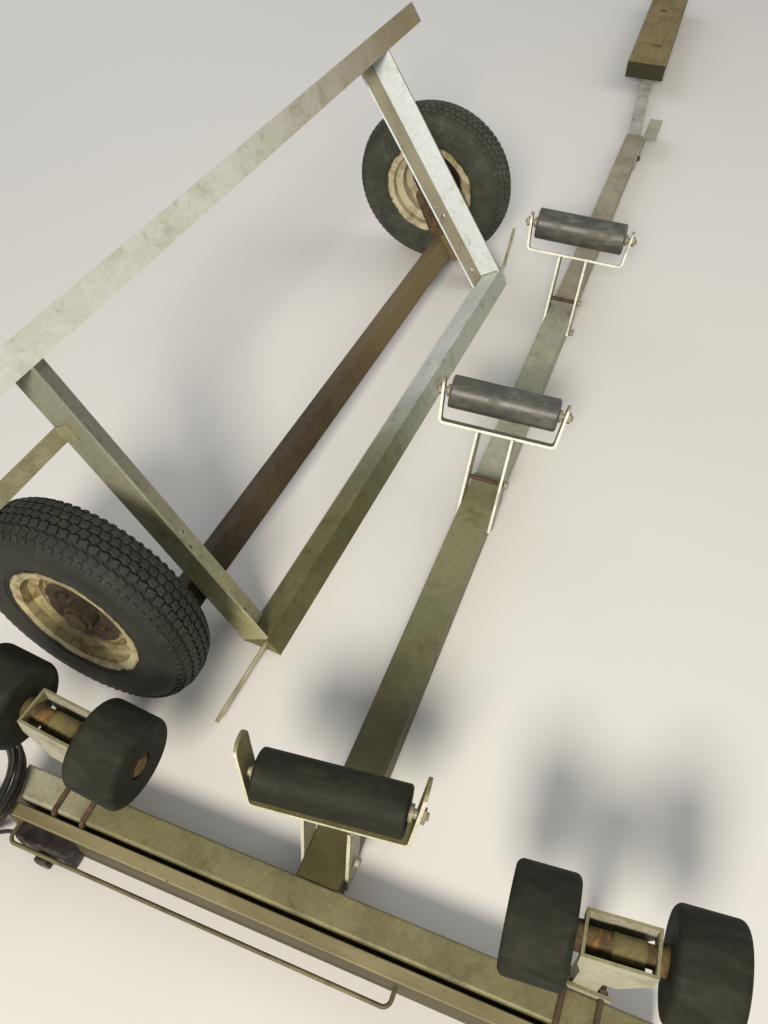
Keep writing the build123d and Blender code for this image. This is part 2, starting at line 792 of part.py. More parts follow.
# Mudguard stay: a flat bar off the near leg, with a tab on the leg's outer face
with BuildPart() as stay:
    with BuildSketch(base_plane):
        with Locations((-stay_length / 2, stay_at)):
            Rectangle(stay_length, stay_width)
            with Locations((-stay_length / 2 + stay_width / 2, 0)):
                Circle(small_hole_r, mode=Mode.SUBTRACT)
    extrude(amount=stay_thickness)
    with BuildSketch(base_plane.offset(stay_thickness)):
        with Locations((-stay_thickness / 2, stay_at)):
            Rectangle(stay_thickness, stay_width)
    extrude(amount=stay_tab)
keep("mudguard_stay", stay)

# Axle beam on its pads, under the flat faces of the legs
beam_ends = {"near": -axle_near_overhang, "far": base_length - axle_far_setback}
beam_length = beam_ends["far"] - beam_ends["near"]
axle_section = Plane(origin=base_point(beam_ends["near"], axle_at, -axle_drop), x_dir=leg_dir, z_dir=rail_dir)
keep("axle_beam", square_tube(axle_section, axle_size, axle_wall, beam_length))
with BuildPart() as pads:
    with BuildSketch(base_plane):
        pad_inset = angle_width - pad_width / 2
        with Locations(*[(outer_x + inward * pad_inset, axle_at) for _, _, inward, outer_x in leg_rows]):
            Rectangle(pad_width, pad_length)
    extrude(amount=-(axle_drop - axle_size / 2))
keep("axle_pads", pads)

# Trailing arms with their spindles, and the wheels standing on the floor
wheel_up = (tyre_r - base_rise + wheel_drop * cos(tip)) / sin(tip)


def wheel_section(centre, outward):
    """A plane through a wheel's axle, with x out from the axle and y outward along it."""
    return Plane(origin=centre, x_dir=(0, 0, 1), z_dir=Vector(0, 0, 1).cross(outward))


def around(points):
    """The points of one half of a section, followed by their mirror images across the wheel."""
    return points + [(r, -along) for r, along in reversed(points)]


disc_back = disc_face - disc_thickness
disc_edge_r = rim_well_r - rim_sheet
for name, hand in [("near", -1), ("far", 1)]:
    outward = rail_dir * hand
    arm_root = base_point(beam_ends[name], 0, 0)
    arm_plane = Plane(origin=arm_root, x_dir=leg_dir, z_dir=outward)
    spindle_place = (wheel_up, -hand * wheel_drop)
    reach = wheel_offset - arm_plate + hub_inner - spindle_gap
    with BuildPart() as arm:
        with BuildSketch(arm_plane):
            with Locations((axle_at, -hand * axle_drop)):
                Circle(arm_big_r)
            with Locations(spindle_place):
                Circle(arm_small_r)
            make_hull()
        extrude(amount=arm_plate)
        with BuildSketch(arm_plane.offset(arm_plate)):
            with Locations(spindle_place):
                Circle(spindle_shoulder_r)
        extrude(amount=reach)
        with BuildSketch(arm_plane.offset(arm_plate + reach)):
            with Locations(spindle_place):
                Circle(spindle_r)
        extrude(amount=hub_bore_depth)
    keep(f"suspension_arm_{name}", arm)

    centre = base_point(beam_ends[name] + hand * wheel_offset, wheel_up, -wheel_drop)
    section = wheel_section(centre, outward)
    axle_line = Axis(centre, outward)
    face = Plane(origin=centre, x_dir=(0, 0, 1), z_dir=outward)

    with BuildPart() as tyre:
        shoulder_r = tyre_r - shoulder_drop
        lining_half = tyre_half_width - tyre_wall
        outside = [
            (rim_seat_r, bead_half_width),
            (rim_flange_r, bead_half_width + flange_rake),
            (lower_wall_r, tyre_half_width - wall_taper),
            (sidewall_r, tyre_half_width),
            (upper_wall_r, tyre_half_width - wall_taper),
            (shoulder_r, tread_half_width),
            (tyre_r, crown_half_width),
        ]
        lining = [
            (rim_seat_r, bead_half_width - tyre_wall),
            (rim_flange_r, bead_half_width - tyre_wall + flange_rake),
            (sidewall_r, lining_half),
            (shoulder_r - crown_wall, tread_half_width),
            (tyre_r - crown_wall, tread_half_width - crown_wall),
        ]
        with BuildSketch(section):
            with BuildLine():
                Polyline(*around(outside), *reversed(around(lining)), close=True)
            make_face()
        revolve(axis=axle_line)
    keep(f"tyre_{name}", tyre)

    seat_half = bead_half_width + bead_play
    tyre_side = around([
        (rim_flange_r, seat_half + flange_rake),
        (rim_seat_r - bead_play, seat_half),
        (rim_seat_r - bead_play, well_top_half),
        (rim_well_r, well_half),
    ])
    hub_side = around([
        (rim_flange_r, seat_half + flange_rake + rim_sheet),
        (rim_seat_r - rim_sheet, seat_half + rim_sheet),
        (rim_seat_r - rim_sheet, well_top_half + rim_sheet / 2),
        (rim_well_r - rim_sheet, well_half + rim_sheet / 2),
    ])
    disc_side = [
        (disc_edge_r + 1, disc_back - disc_step),
        (disc_shoulder_r, disc_back + disc_step),
        (disc_dish_r + disc_step, disc_back + disc_step),
        (disc_dish_r, disc_back),
        (spigot_r + spigot_play, disc_back),
    ]
    with BuildPart() as rim:
        with BuildSketch(section):
            with BuildLine():
                Polyline(*tyre_side, *reversed(hub_side), close=True)
            make_face()
            with BuildLine():
                Polyline(*disc_side, *[(r, along + disc_thickness) for r, along in reversed(disc_side)], close=True)
            make_face()
        revolve(axis=axle_line)
        with BuildSketch(face):
            with PolarLocations(wheel_bolt_circle_r, wheel_bolt_count, start_angle=45):
                Circle(wheel_bolt_hole_r)
        extrude(amount=rim_half_width, mode=Mode.SUBTRACT)
    keep(f"rim_{name}", rim)

    bore_r = spindle_r + running_play
    bore_end = hub_inner + hub_bore_depth
    with BuildPart() as hub:
        with BuildSketch(section):
            with BuildLine():
                Polyline(
                    (bore_r, hub_inner),
                    (hub_barrel_r, hub_inner),
                    (hub_barrel_r, disc_back - hub_flange),
                    (hub_flange_r, disc_back - hub_flange),
                    (hub_flange_r, disc_back),
                    (spigot_r, disc_back),
                    (spigot_r, hub_nose),
                    (hub_cap_r, hub_nose),
                    (hub_cap_r, hub_nose + hub_cap_length / 2),
                    (hub_cap_r / 2, hub_nose + hub_cap_length),
                    (0, hub_nose + hub_cap_length),
                    (0, bore_end),
                    (bore_r, bore_end),
                    close=True,
                )
            make_face()
        revolve(axis=axle_line)
    keep(f"hub_{name}", hub)

# Put the origin on the floor under the middle of the trailer without its cable, and write the pieces
boxes = [piece.bounding_box() for name, piece in pieces.items() if not name.startswith("cable")]
middle_x = (min(box.min.X for box in boxes) + max(box.max.X for box in boxes)) / 2
middle_y = (min(box.min.Y for box in boxes) + max(box.max.Y for box in boxes)) / 2
print("spine origin", round(-middle_x, 3), round(-middle_y, 3))
os.makedirs("parts", exist_ok=True)
for name, piece in pieces.items():
    placed = piece.moved(Location((-middle_x, -middle_y, 0)))
    placed.label = name
    export_step(placed, f"parts/{name}.step")
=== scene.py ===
"""Looks of the boat trailer: finishes, fasteners, treads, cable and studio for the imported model."""

import json
import logging
import math
from dataclasses import dataclass
from enum import Enum
from typing import Iterable, Sequence

import bpy
from mathutils import Matrix, Vector

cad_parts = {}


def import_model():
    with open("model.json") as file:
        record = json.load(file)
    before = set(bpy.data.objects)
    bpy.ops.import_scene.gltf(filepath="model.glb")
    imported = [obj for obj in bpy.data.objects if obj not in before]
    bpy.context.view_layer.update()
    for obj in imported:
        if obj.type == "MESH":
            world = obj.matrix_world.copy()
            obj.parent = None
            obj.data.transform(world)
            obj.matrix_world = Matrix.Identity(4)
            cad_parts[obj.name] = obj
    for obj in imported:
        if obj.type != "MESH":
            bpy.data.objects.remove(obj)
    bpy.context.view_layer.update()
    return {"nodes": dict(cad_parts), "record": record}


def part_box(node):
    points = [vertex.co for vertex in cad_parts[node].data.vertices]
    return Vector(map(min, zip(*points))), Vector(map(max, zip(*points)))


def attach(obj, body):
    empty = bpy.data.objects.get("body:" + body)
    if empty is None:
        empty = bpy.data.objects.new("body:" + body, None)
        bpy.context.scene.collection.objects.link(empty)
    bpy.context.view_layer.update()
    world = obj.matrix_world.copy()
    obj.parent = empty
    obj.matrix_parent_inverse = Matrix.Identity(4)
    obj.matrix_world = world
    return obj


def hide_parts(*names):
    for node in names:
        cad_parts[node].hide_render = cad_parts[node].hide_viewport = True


LOG = logging.getLogger("boat_trailer")
MM = 0.001
FORWARD, LEFT, UP = Vector((1, 0, 0)), Vector((0, 1, 0)), Vector((0, 0, 1))
Piece = bpy.types.Object
Socket = bpy.types.NodeSocket
Axis = tuple[float, float, float]


class Slot(str, Enum):
    """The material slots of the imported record."""

    GALVANISED = "galvanised_steel"
    RUSTY = "rusty_steel"
    RIM = "rim_paint"
    TYRE = "tyre_rubber"
    ROLLER = "roller_rubber"
    TIMBER = "old_timber"
    BOARD = "board_wood"
    LAMP = "lamp_plastic"
    CABLE = "cable_sheath"
    CASTING = "coupling_casting"


class Blend(Enum):
    """How a tone goes over the colour under it."""

    COVER = "MIX"
    STAIN = "MULTIPLY"


def linear(hex_code: str) -> tuple[float, float, float, float]:
    """Turn an sRGB hex colour into the linear colour that a shader socket takes.

    Args:
        hex_code: six hex digits, without the hash sign.

    Returns:
        Red, green, blue and an alpha of one.
    """
    parts = [int(hex_code[at:at + 2], 16) / 255 for at in (0, 2, 4)]
    bands = [c / 12.92 if c <= 0.04045 else ((c + 0.055) / 1.055) ** 2.4 for c in parts]
    return (bands[0], bands[1], bands[2], 1.0)


@dataclass(frozen=True)
class FaceTone:
    """A tone for the faces that look along an axis, either way: a painted highlight on a lit face or cut edge, or
    painted shade on a face in shade.
    """

    tone: str
    axis: Axis
    how: Blend = Blend.COVER


@dataclass(frozen=True)
class Cloud:
    """Cloudy noise: the size of its largest blotches, how many finer layers it has and how strong they are,
    how much it is drawn out of shape, and the values at which its patches start to show and are full.
    """

    size_mm: float
    detail: float
    rough: float
    warp: float = 0.0
    start: float = 0.0
    full: float = 1.0


@dataclass(frozen=True)
class Fade:
    """A tone that a piece takes on along an axis, from start to end in metres, with a cloudy edge."""

    tone: str
    axis: Axis
    start: float
    end: float
    ragged: float = 0.4
    cloud: Cloud = Cloud(140, 5, 0.6)


class Sheet:
    """One material while it is put together: its nodes, and the object coordinates that they read."""

    facing_cosines: tuple[float, float] = (0.8, 0.95)
    bump_strength: float = 0.8

    def __init__(self, name: str) -> None:
        """Start an empty node material.

        Args:
            name: the material's name.
        """
        self.material = bpy.data.materials.new(name)
        self.material.use_nodes = True
        self.tree = self.material.node_tree
        self.tree.nodes.clear()
        self.where = self.add("TexCoord").outputs["Object"]

    def add(self, kind: str, inputs: dict | None = None, **traits: object) -> bpy.types.Node:
        """Add one shader node.

        Args:
            kind: the node's type name, without the beginning that all of them share.
            inputs: what goes into its sockets, each another node's output, a hex colour or a plain value.
            traits: its other properties.

        Returns:
            The new node.
        """
        node = self.tree.nodes.new(f"ShaderNode{kind}")
        for key, value in traits.items():
            setattr(node, key, value)
        for key, part in (inputs or {}).items():
            if isinstance(part, Socket):
                self.tree.links.new(part, node.inputs[key])
            else:
                node.inputs[key].default_value = linear(part) if isinstance(part, str) else part
        return node

    def math(self, how: str, first: Socket | float, second: Socket | float) -> Socket:
        """One sum of two values, kept between nought and one."""
        return self.add("Math", {0: first, 1: second}, operation=how, use_clamp=True).outputs[0]

    def raised(self, value: Socket, share: float, base: float) -> Socket:
        """A share of a value on top of a base."""
        return self.math("ADD", self.math("MULTIPLY", value, share), base)

    def vector(self, how: str, first: Socket, second: Socket | Axis = (0.0, 0.0, 0.0)) -> Socket:
        """Work on one or two vectors.

        Args:
            how: the operation's name.
            first: the first vector.
            second: the other vector, where the operation takes one.

        Returns:
            The vector, or the number that a dot product or a length gives.
        """
        node = self.add("VectorMath", {0: first, 1: second}, operation=how)
        return node.outputs["Value" if how in ("DOT_PRODUCT", "LENGTH") else "Vector"]

    def drawn(self, scale: Axis) -> Socket:
        """The coordinates drawn out along the axes whose scale is small."""
        return self.add("Mapping", {"Vector": self.where, "Scale": scale}).outputs[0]

    def noise(self, cloud: Cloud, where: Socket | None = None) -> Socket:
        """Make cloudy noise.

        Args:
            cloud: what it is like.
            where: the coordinates it reads, or nothing for the plain ones.

        Returns:
            The noise value, around one half.
        """
        inputs = {"Vector": where or self.where, "Scale": 1.0 / (cloud.size_mm * MM), "Detail": cloud.detail,
                  "Roughness": cloud.rough, "Distortion": cloud.warp}
        return self.add("TexNoise", inputs).outputs[0]

    def mask(self, value: Socket, low: float, high: float) -> Socket:
        """A mask that goes smoothly from nought at low to one at high."""
        inputs = {"Value": value, "From Min": low, "From Max": high}
        return self.add("MapRange", inputs, interpolation_type="SMOOTHSTEP").outputs[0]

    def shown(self, noise: Socket, cloud: Cloud) -> Socket:
        """The mask of a cloud's patches, from its noise."""
        return self.mask(noise, cloud.start, cloud.full)

    def patches(self, cloud: Cloud, where: Socket | None = None) -> Socket:
        """The mask of a new cloud's patches."""
        return self.shown(self.noise(cloud, where), cloud)

    def ragged(self, value: Socket, cloud: Socket, width: float) -> Socket:
        """A value made uneven by a cloud, over this width."""
        return self.add("Math", {0: cloud, 1: width, 2: value}, operation="MULTIPLY_ADD").outputs[0]

    def facing(self, axis: Axis) -> Socket:
        """Mask the faces that look along an axis, either way.

        Args:
            axis: the axis.

        Returns:
            The mask.
        """
        along = self.vector("DOT_PRODUCT", self.add("TexCoord").outputs["Normal"], axis)
        either_way = self.add("Math", {0: along}, operation="ABSOLUTE").outputs[0]
        return self.mask(either_way, *self.facing_cosines)

    def reach(self, fade: Fade) -> Socket:
        """Mask what a fade has reached.

        Args:
            fade: the fade, along its own axis.

        Returns:
            The mask, with a cloudy edge as wide as the fade is ragged.
        """
        along = self.vector("DOT_PRODUCT", self.where, fade.axis)
        uneven = self.ragged(along, self.noise(fade.cloud), fade.ragged)
        return self.mask(uneven, fade.start + fade.ragged / 2, fade.end + fade.ragged / 2)

    def tint(self, under: Socket | str, tone: Socket | str, mask: Socket, amount: float = 1.0,
             how: Blend = Blend.COVER) -> Socket:
        """Lay a tone over a colour.

        Args:
            under: the colour under it.
            tone: the tone.
            mask: where it lies.
            amount: how strongly.
            how: whether it covers or stains the colour.

        Returns:
            The new colour.
        """
        share = mask if amount == 1.0 else self.math("MULTIPLY", mask, amount)
        return self.add("Mix", {0: share, 6: under, 7: tone}, data_type="RGBA", blend_type=how.value).outputs[2]

    def close(self, colour: Socket | str, roughness: Socket | float, height: Socket | None = None,
              depth_mm: float = 0.5, metallic: float = 0.0, gloss: float = 0.5) -> None:
        """Join colour, roughness and height into the material's surface.

        Args:
            colour: the base colour.
            roughness: the roughness.
            height: a height from nought to one, or nothing for a smooth face.
            depth_mm: the real depth of that height.
            metallic: the share of bare metal.
            gloss: the strength of the sheen.
        """
        inputs = {"Base Color": colour, "Roughness": roughness, "Metallic": metallic, "Specular IOR Level": gloss}
        if height is not None:
            bump = {"Strength": self.bump_strength, "Distance": depth_mm * MM, "Height": height}
            inputs["Normal"] = self.add("Bump", bump).outputs[0]
        self.add("OutputMaterial", {"Surface": self.add("BsdfPrincipled", inputs).outputs[0]})


@dataclass(frozen=True)
class Finish:
    """A finish in general: its name, and the tones that each kind of finish lays in its own way."""

    name: str

    def build(self) -> bpy.types.Material:
        """Make the material.

        Returns:
            The finished material.
        """
        sheet = Sheet(self.name)
        self.lay(sheet)
        return sheet.material

    def lay(self, sheet: Sheet) -> None:
        """Lay the finish on an empty sheet."""
        raise NotImplementedError


@dataclass(frozen=True)
class DullZinc(Finish):
    """Hot-dip galvanised steel left outside: the spangle has gone chalky and even, with soil and rust specks.

    The tone of its faces along one axis, and the one that it fades to along its length, paint a piece's lit
    and shaded sides: painted highlights on lit faces and cut edges, painted shade and the light's falloff.
    """

    bright: str = "A3A595"
    body: str = "8B8C7A"
    soil: str = "B7B195"
    face: FaceTone | None = None
    fade: Fade | None = None
    rust: str = "6E4B2C"
    spangle_mm: float = 9.0
    chalk_cloud: Cloud = Cloud(120, 5, 0.6, 0.2, 0.34, 0.66)
    soil_cloud: Cloud = Cloud(70, 8, 0.68, 0.3, 0.5, 0.72)
    rust_cloud: Cloud = Cloud(16, 6, 0.62, 0.0, 0.68, 0.73)
    grit_cloud: Cloud = Cloud(2.4, 3, 0.6, 0.0, 0.42, 0.7)

    def lay(self, sheet: Sheet) -> None:
        """Lay chalk over the body colour, then the tones, soil, rust specks and a fine grit.

        Args:
            sheet: the empty sheet.
        """
        colour = sheet.tint(self.body, self.bright, sheet.patches(self.chalk_cloud))
        if self.fade:
            colour = sheet.tint(colour, self.fade.tone, sheet.reach(self.fade))
        if self.face:
            colour = sheet.tint(colour, self.face.tone, sheet.facing(self.face.axis), amount=0.88, how=self.face.how)
        spangle = sheet.add("TexVoronoi", {"Scale": 1 / (self.spangle_mm * MM), "Vector": sheet.where})
        facet = sheet.add("SeparateColor", {0: spangle.outputs["Color"]}).outputs[0]
        colour = sheet.tint(colour, self.soil, facet, amount=0.22, how=Blend.STAIN)
        dirt = sheet.patches(self.soil_cloud)
        colour = sheet.tint(colour, self.soil, dirt, amount=0.7, how=Blend.STAIN)
        specks = sheet.patches(self.rust_cloud)
        colour = sheet.tint(colour, self.rust, specks, amount=0.75)
        grit = sheet.noise(self.grit_cloud)
        colour = sheet.tint(colour, self.soil, sheet.shown(grit, self.grit_cloud), amount=0.5, how=Blend.STAIN)
        height = sheet.math("ADD", sheet.math("MULTIPLY", grit, 0.5), sheet.math("MULTIPLY", specks, 0.4))
        sheet.close(colour, sheet.raised(dirt, 0.2, 0.55), height, depth_mm=0.5, metallic=0.15)


@dataclass(frozen=True)
class RustedSteel(Finish):
    """Bare steel rusted through its paint: flaking dark brown scale with orange powder on it."""

    scale: str = "33291B"
    brown: str = "4D3B28"
    powder: str = "6E5030"
    dust: str = "6F6549"
    powder_share: float = 0.8
    fade: Fade | None = None
    scale_cloud: Cloud = Cloud(26, 9, 0.7, 0.5, 0.38, 0.6)
    powder_cloud: Cloud = Cloud(48, 7, 0.66, 0.9, 0.52, 0.66)
    dust_cloud: Cloud = Cloud(130, 6, 0.6, 0.0, 0.5, 0.72)
    pit_cloud: Cloud = Cloud(3.5, 5, 0.65)

    def lay(self, sheet: Sheet) -> None:
        """Lay dark scale and orange powder, with dust lying on it.

        Args:
            sheet: the empty sheet.
        """
        flakes = sheet.noise(self.scale_cloud)
        colour = sheet.tint(self.scale, self.brown, sheet.shown(flakes, self.scale_cloud))
        colour = sheet.tint(colour, self.powder, sheet.patches(self.powder_cloud), amount=self.powder_share)
        colour = sheet.tint(colour, self.dust, sheet.patches(self.dust_cloud), amount=0.5)
        if self.fade:
            colour = sheet.tint(colour, self.fade.tone, sheet.reach(self.fade), amount=0.85)
        pits = sheet.noise(self.pit_cloud)
        height = sheet.math("ADD", sheet.math("MULTIPLY", flakes, 0.6), sheet.math("MULTIPLY", pits, 0.4))
        sheet.close(colour, 0.86, height, depth_mm=1.2)


@dataclass(frozen=True)
class CreamRim(Finish):
    """Pressed steel wheel in cream enamel, rusted through from its middle and along the tyre's edge."""

    centre: Axis
    axle: Axis
    cream: str
    stain: str
    rust: str = "1F170C"
    flake: str = "3B2A16"
    rust_radius_mm: float = 82.0
    edge_radius_mm: float = 139.0
    ragged_mm: float = 30.0
    least_mm: float = 14.0
    most_mm: float = 22.0
    edge_cloud: Cloud = Cloud(34, 6, 0.62, 0.6)
    stain_cloud: Cloud = Cloud(52, 6, 0.64, 1.0, 0.44, 0.66)
    flake_cloud: Cloud = Cloud(18, 7, 0.66, 0.0, 0.4, 0.66)
    pit_cloud: Cloud = Cloud(4, 5, 0.65)

    def lay(self, sheet: Sheet) -> None:
        """Lay stains on the cream, and rust whose ragged edges follow the distance from the axle.

        Args:
            sheet: the empty sheet.
        """
        around = sheet.vector("CROSS_PRODUCT", sheet.vector("SUBTRACT", sheet.where, self.centre), self.axle)
        radius = sheet.ragged(sheet.vector("LENGTH", around), sheet.noise(self.edge_cloud), self.ragged_mm * MM)
        inner, outer = self.rust_radius_mm, self.edge_radius_mm
        middle = sheet.mask(radius, (inner + self.most_mm) * MM, (inner + self.least_mm) * MM)
        edge = sheet.mask(radius, (outer + self.least_mm) * MM, (outer + self.most_mm) * MM)
        colour = sheet.tint(self.cream, self.stain, sheet.patches(self.stain_cloud), amount=0.85)
        rusty = sheet.math("MAXIMUM", middle, edge)
        brown = sheet.tint(self.rust, self.flake, sheet.patches(self.flake_cloud))
        colour = sheet.tint(colour, brown, rusty)
        height = sheet.math("MULTIPLY", sheet.noise(self.pit_cloud), rusty)
        sheet.close(colour, sheet.raised(rusty, 0.45, 0.38), height, depth_mm=1.0)


@dataclass(frozen=True)
class CrackedTyre(Finish):
    """Old vulcanised tyre rubber: dull black, crazed all over with fine cracks and dusty in patches."""

    rubber: str = "23241B"
    grey: str = "32342A"
    dust: str = "46422C"
    crack: str = "0B0C09"
    cell_mm: float = 13.0
    waver_mm: float = 12.0
    waver_cloud: Cloud = Cloud(20, 3, 0.6)
    crack_cloud: Cloud = Cloud(75, 4, 0.6, 0.0, 0.42, 0.58)
    bloom_cloud: Cloud = Cloud(60, 6, 0.64, 0.4, 0.4, 0.7)
    dust_cloud: Cloud = Cloud(95, 7, 0.66, 0.7, 0.54, 0.74)
    grain_cloud: Cloud = Cloud(3, 4, 0.6)

    def lay(self, sheet: Sheet) -> None:
        """Lay grey bloom, dust and cells of cracks with wavering edges.

        Args:
            sheet: the empty sheet.
        """
        waver = {0: sheet.noise(self.waver_cloud), "Scale": self.waver_mm * MM}
        shift = sheet.add("VectorMath", waver, operation="SCALE").outputs[0]
        cell = {"Scale": 1 / (self.cell_mm * MM), "Vector": sheet.vector("ADD", sheet.where, shift)}
        edge = sheet.add("TexVoronoi", cell, feature="DISTANCE_TO_EDGE").outputs["Distance"]
        crazed = sheet.patches(self.crack_cloud)
        cracks = sheet.math("MULTIPLY", sheet.mask(edge, 0.07, 0.015), crazed)
        colour = sheet.tint(self.rubber, self.grey, sheet.patches(self.bloom_cloud))
        colour = sheet.tint(colour, self.dust, sheet.patches(self.dust_cloud), amount=0.6)
        colour = sheet.tint(colour, self.crack, cracks)
        fine = sheet.math("MULTIPLY", sheet.noise(self.grain_cloud), 0.4)
        height = sheet.math("SUBTRACT", fine, sheet.math("MULTIPLY", cracks, 0.4))
        sheet.close(colour, 0.74, sheet.math("ADD", height, 0.5), depth_mm=0.9)


@dataclass(frozen=True)
class ScuffedRubber(Finish):
    """Hard moulded rubber rollers: grey-black with a low sheen, pale scuffs and ground-in dust."""

    rubber: str = "1B1D14"
    pale: str = "2D2F26"
    dust: str = "343222"
    roughness: float = 0.62
    gloss: float = 0.16
    scuff_cloud: Cloud = Cloud(26, 7, 0.68, 0.5, 0.44, 0.7)
    dust_cloud: Cloud = Cloud(70, 6, 0.62, 0.0, 0.48, 0.7)
    grain_cloud: Cloud = Cloud(4, 4, 0.6)

    def lay(self, sheet: Sheet) -> None:
        """Lay scuffs drawn out along the roller, and dust between them.

        Args:
            sheet: the empty sheet.
        """
        scuffs = sheet.patches(self.scuff_cloud, sheet.drawn((1.0, 0.35, 1.0)))
        colour = sheet.tint(self.rubber, self.pale, scuffs, amount=0.7)
        dusty = sheet.patches(self.dust_cloud)
        colour = sheet.tint(colour, self.dust, dusty, amount=0.55)
        rough = sheet.raised(dusty, 0.2, self.roughness)
        sheet.close(colour, rough, sheet.noise(self.grain_cloud), depth_mm=0.4, gloss=self.gloss)


@dataclass(frozen=True)
class GreyedTimber(Finish):
    """Sawn softwood left outside: yellow-green with algae, greyed ridges of grain and dark knots."""

    pale: str = "756843"
    green: str = "665B35"
    dark: str = "43371F"
    end: str = "17190F"
    grain_cloud: Cloud = Cloud(7, 6, 0.62, 0.6, 0.5, 0.68)
    algae_cloud: Cloud = Cloud(110, 5, 0.6, 0.8, 0.42, 0.62)
    knot_cloud: Cloud = Cloud(40, 6, 0.6, 0.0, 0.62, 0.72)

    def lay(self, sheet: Sheet) -> None:
        """Lay algae, grain lines about 7 mm apart along the timber, knots, and the dark end grain with painted shade
        on the end faces.

        Args:
            sheet: the empty sheet.
        """
        grain = sheet.noise(self.grain_cloud, sheet.drawn((0.05, 1.0, 1.0)))
        colour = sheet.tint(self.pale, self.green, sheet.patches(self.algae_cloud))
        colour = sheet.tint(colour, self.dark, sheet.shown(grain, self.grain_cloud), amount=0.7)
        colour = sheet.tint(colour, self.dark, sheet.patches(self.knot_cloud), amount=0.6)
        # Painted shade: the end faces are painted near black, darker than the end grain alone, as the timber's shaded
        # end
        colour = sheet.tint(colour, self.end, sheet.facing(tuple(FORWARD)), amount=0.85)
        sheet.close(colour, 0.82, grain, depth_mm=1.2)


@dataclass(frozen=True)
class PaintedBoard(Finish):
    """Plywood board under old cream paint: dusty and chipped to the wood, with painted shade on its upright faces."""

    paint: str = "7F7655"
    dirt: str = "645B3D"
    wood: str = "4C3F29"
    shade: str = "35301D"
    dirt_cloud: Cloud = Cloud(55, 6, 0.62, 0.6, 0.44, 0.7)
    chip_cloud: Cloud = Cloud(16, 5, 0.6, 0.0, 0.66, 0.7)
    grain_cloud: Cloud = Cloud(3, 4, 0.6)

    def lay(self, sheet: Sheet) -> None:
        """Lay runs of dirt over the paint, chips down to the wood, and painted shade on its upright faces.

        Args:
            sheet: the empty sheet.
        """
        dirty = sheet.patches(self.dirt_cloud, sheet.drawn((1.0, 0.2, 1.0)))
        colour = sheet.tint(self.paint, self.dirt, dirty, amount=0.8)
        colour = sheet.tint(colour, self.wood, sheet.patches(self.chip_cloud))
        # Painted shade: the upright faces that look along the trailer are painted dark, as faces in shadow
        colour = sheet.tint(colour, self.shade, sheet.facing(tuple(FORWARD)), amount=0.8)
        sheet.close(colour, 0.68, sheet.noise(self.grain_cloud), depth_mm=0.4)


@dataclass(frozen=True)
class FadedLens(Finish):
    """Moulded acrylic lamp cover, faded by the sun and dusty, with fine optic ribs."""

    red: str = "180D0F"
    dust: str = "25211A"
    rib_mm: float = 3.0
    dust_cloud: Cloud = Cloud(30, 6, 0.64, 0.0, 0.36, 0.66)

    def lay(self, sheet: Sheet) -> None:
        """Lay optic ribs across the cover, softened by dust.

        Args:
            sheet: the empty sheet.
        """
        wave = {"Scale": 1 / (20 * self.rib_mm * MM), "Distortion": 0.0, "Vector": sheet.where}
        dusty = sheet.patches(self.dust_cloud)
        colour = sheet.tint(self.red, self.dust, dusty, amount=0.8)
        ribs = sheet.add("TexWave", wave, bands_direction="Y").outputs[1]
        sheet.close(colour, sheet.raised(dusty, 0.4, 0.28), ribs, depth_mm=0.6)


@dataclass(frozen=True)
class BlackSheath(Finish):
    """Soft extruded PVC sheath, black once, now dusty and brown with a dull shine."""

    black: str = "24231F"
    dust: str = "57513F"
    dust_cloud: Cloud = Cloud(45, 6, 0.64, 0.0, 0.46, 0.7)
    grain_cloud: Cloud = Cloud(5, 3, 0.5)

    def lay(self, sheet: Sheet) -> None:
        """Lay dust in patches, with a slight unevenness of the sheath.

        Args:
            sheet: the empty sheet.
        """
        dusty = sheet.patches(self.dust_cloud)
        colour = sheet.tint(self.black, self.dust, dusty, amount=0.8)
        sheet.close(colour, sheet.raised(dusty, 0.35, 0.42), sheet.noise(self.grain_cloud), depth_mm=0.3)


@dataclass(frozen=True)
class GreyCasting(Finish):
    """Sand-cast iron under worn grey paint: grainy, with rust where the paint has gone."""

    paint: str = "6E716D"
    dirt: str = "47453B"
    rust: str = "6A4126"
    dirt_cloud: Cloud = Cloud(60, 6, 0.62, 0.0, 0.4, 0.66)
    rust_cloud: Cloud = Cloud(28, 7, 0.66, 0.7, 0.54, 0.62)
    grain_cloud: Cloud = Cloud(2.5, 4, 0.6)

    def lay(self, sheet: Sheet) -> None:
        """Lay worn paint, rust in blotches and the casting's grain.

        Args:
            sheet: the empty sheet.
        """
        colour = sheet.tint(self.paint, self.dirt, sheet.patches(self.dirt_cloud))
        colour = sheet.tint(colour, self.rust, sheet.patches(self.rust_cloud))
        sheet.close(colour, 0.7, sheet.noise(self.grain_cloud), depth_mm=0.8)


@dataclass(frozen=True)
class PaleFloor(Finish):
    """Plain pale studio floor, matt and of one colour."""

    colour: str = "C9C8C4"

    def lay(self, sheet: Sheet) -> None:
        """Lay one matt colour."""
        sheet.close(self.colour, 0.9)


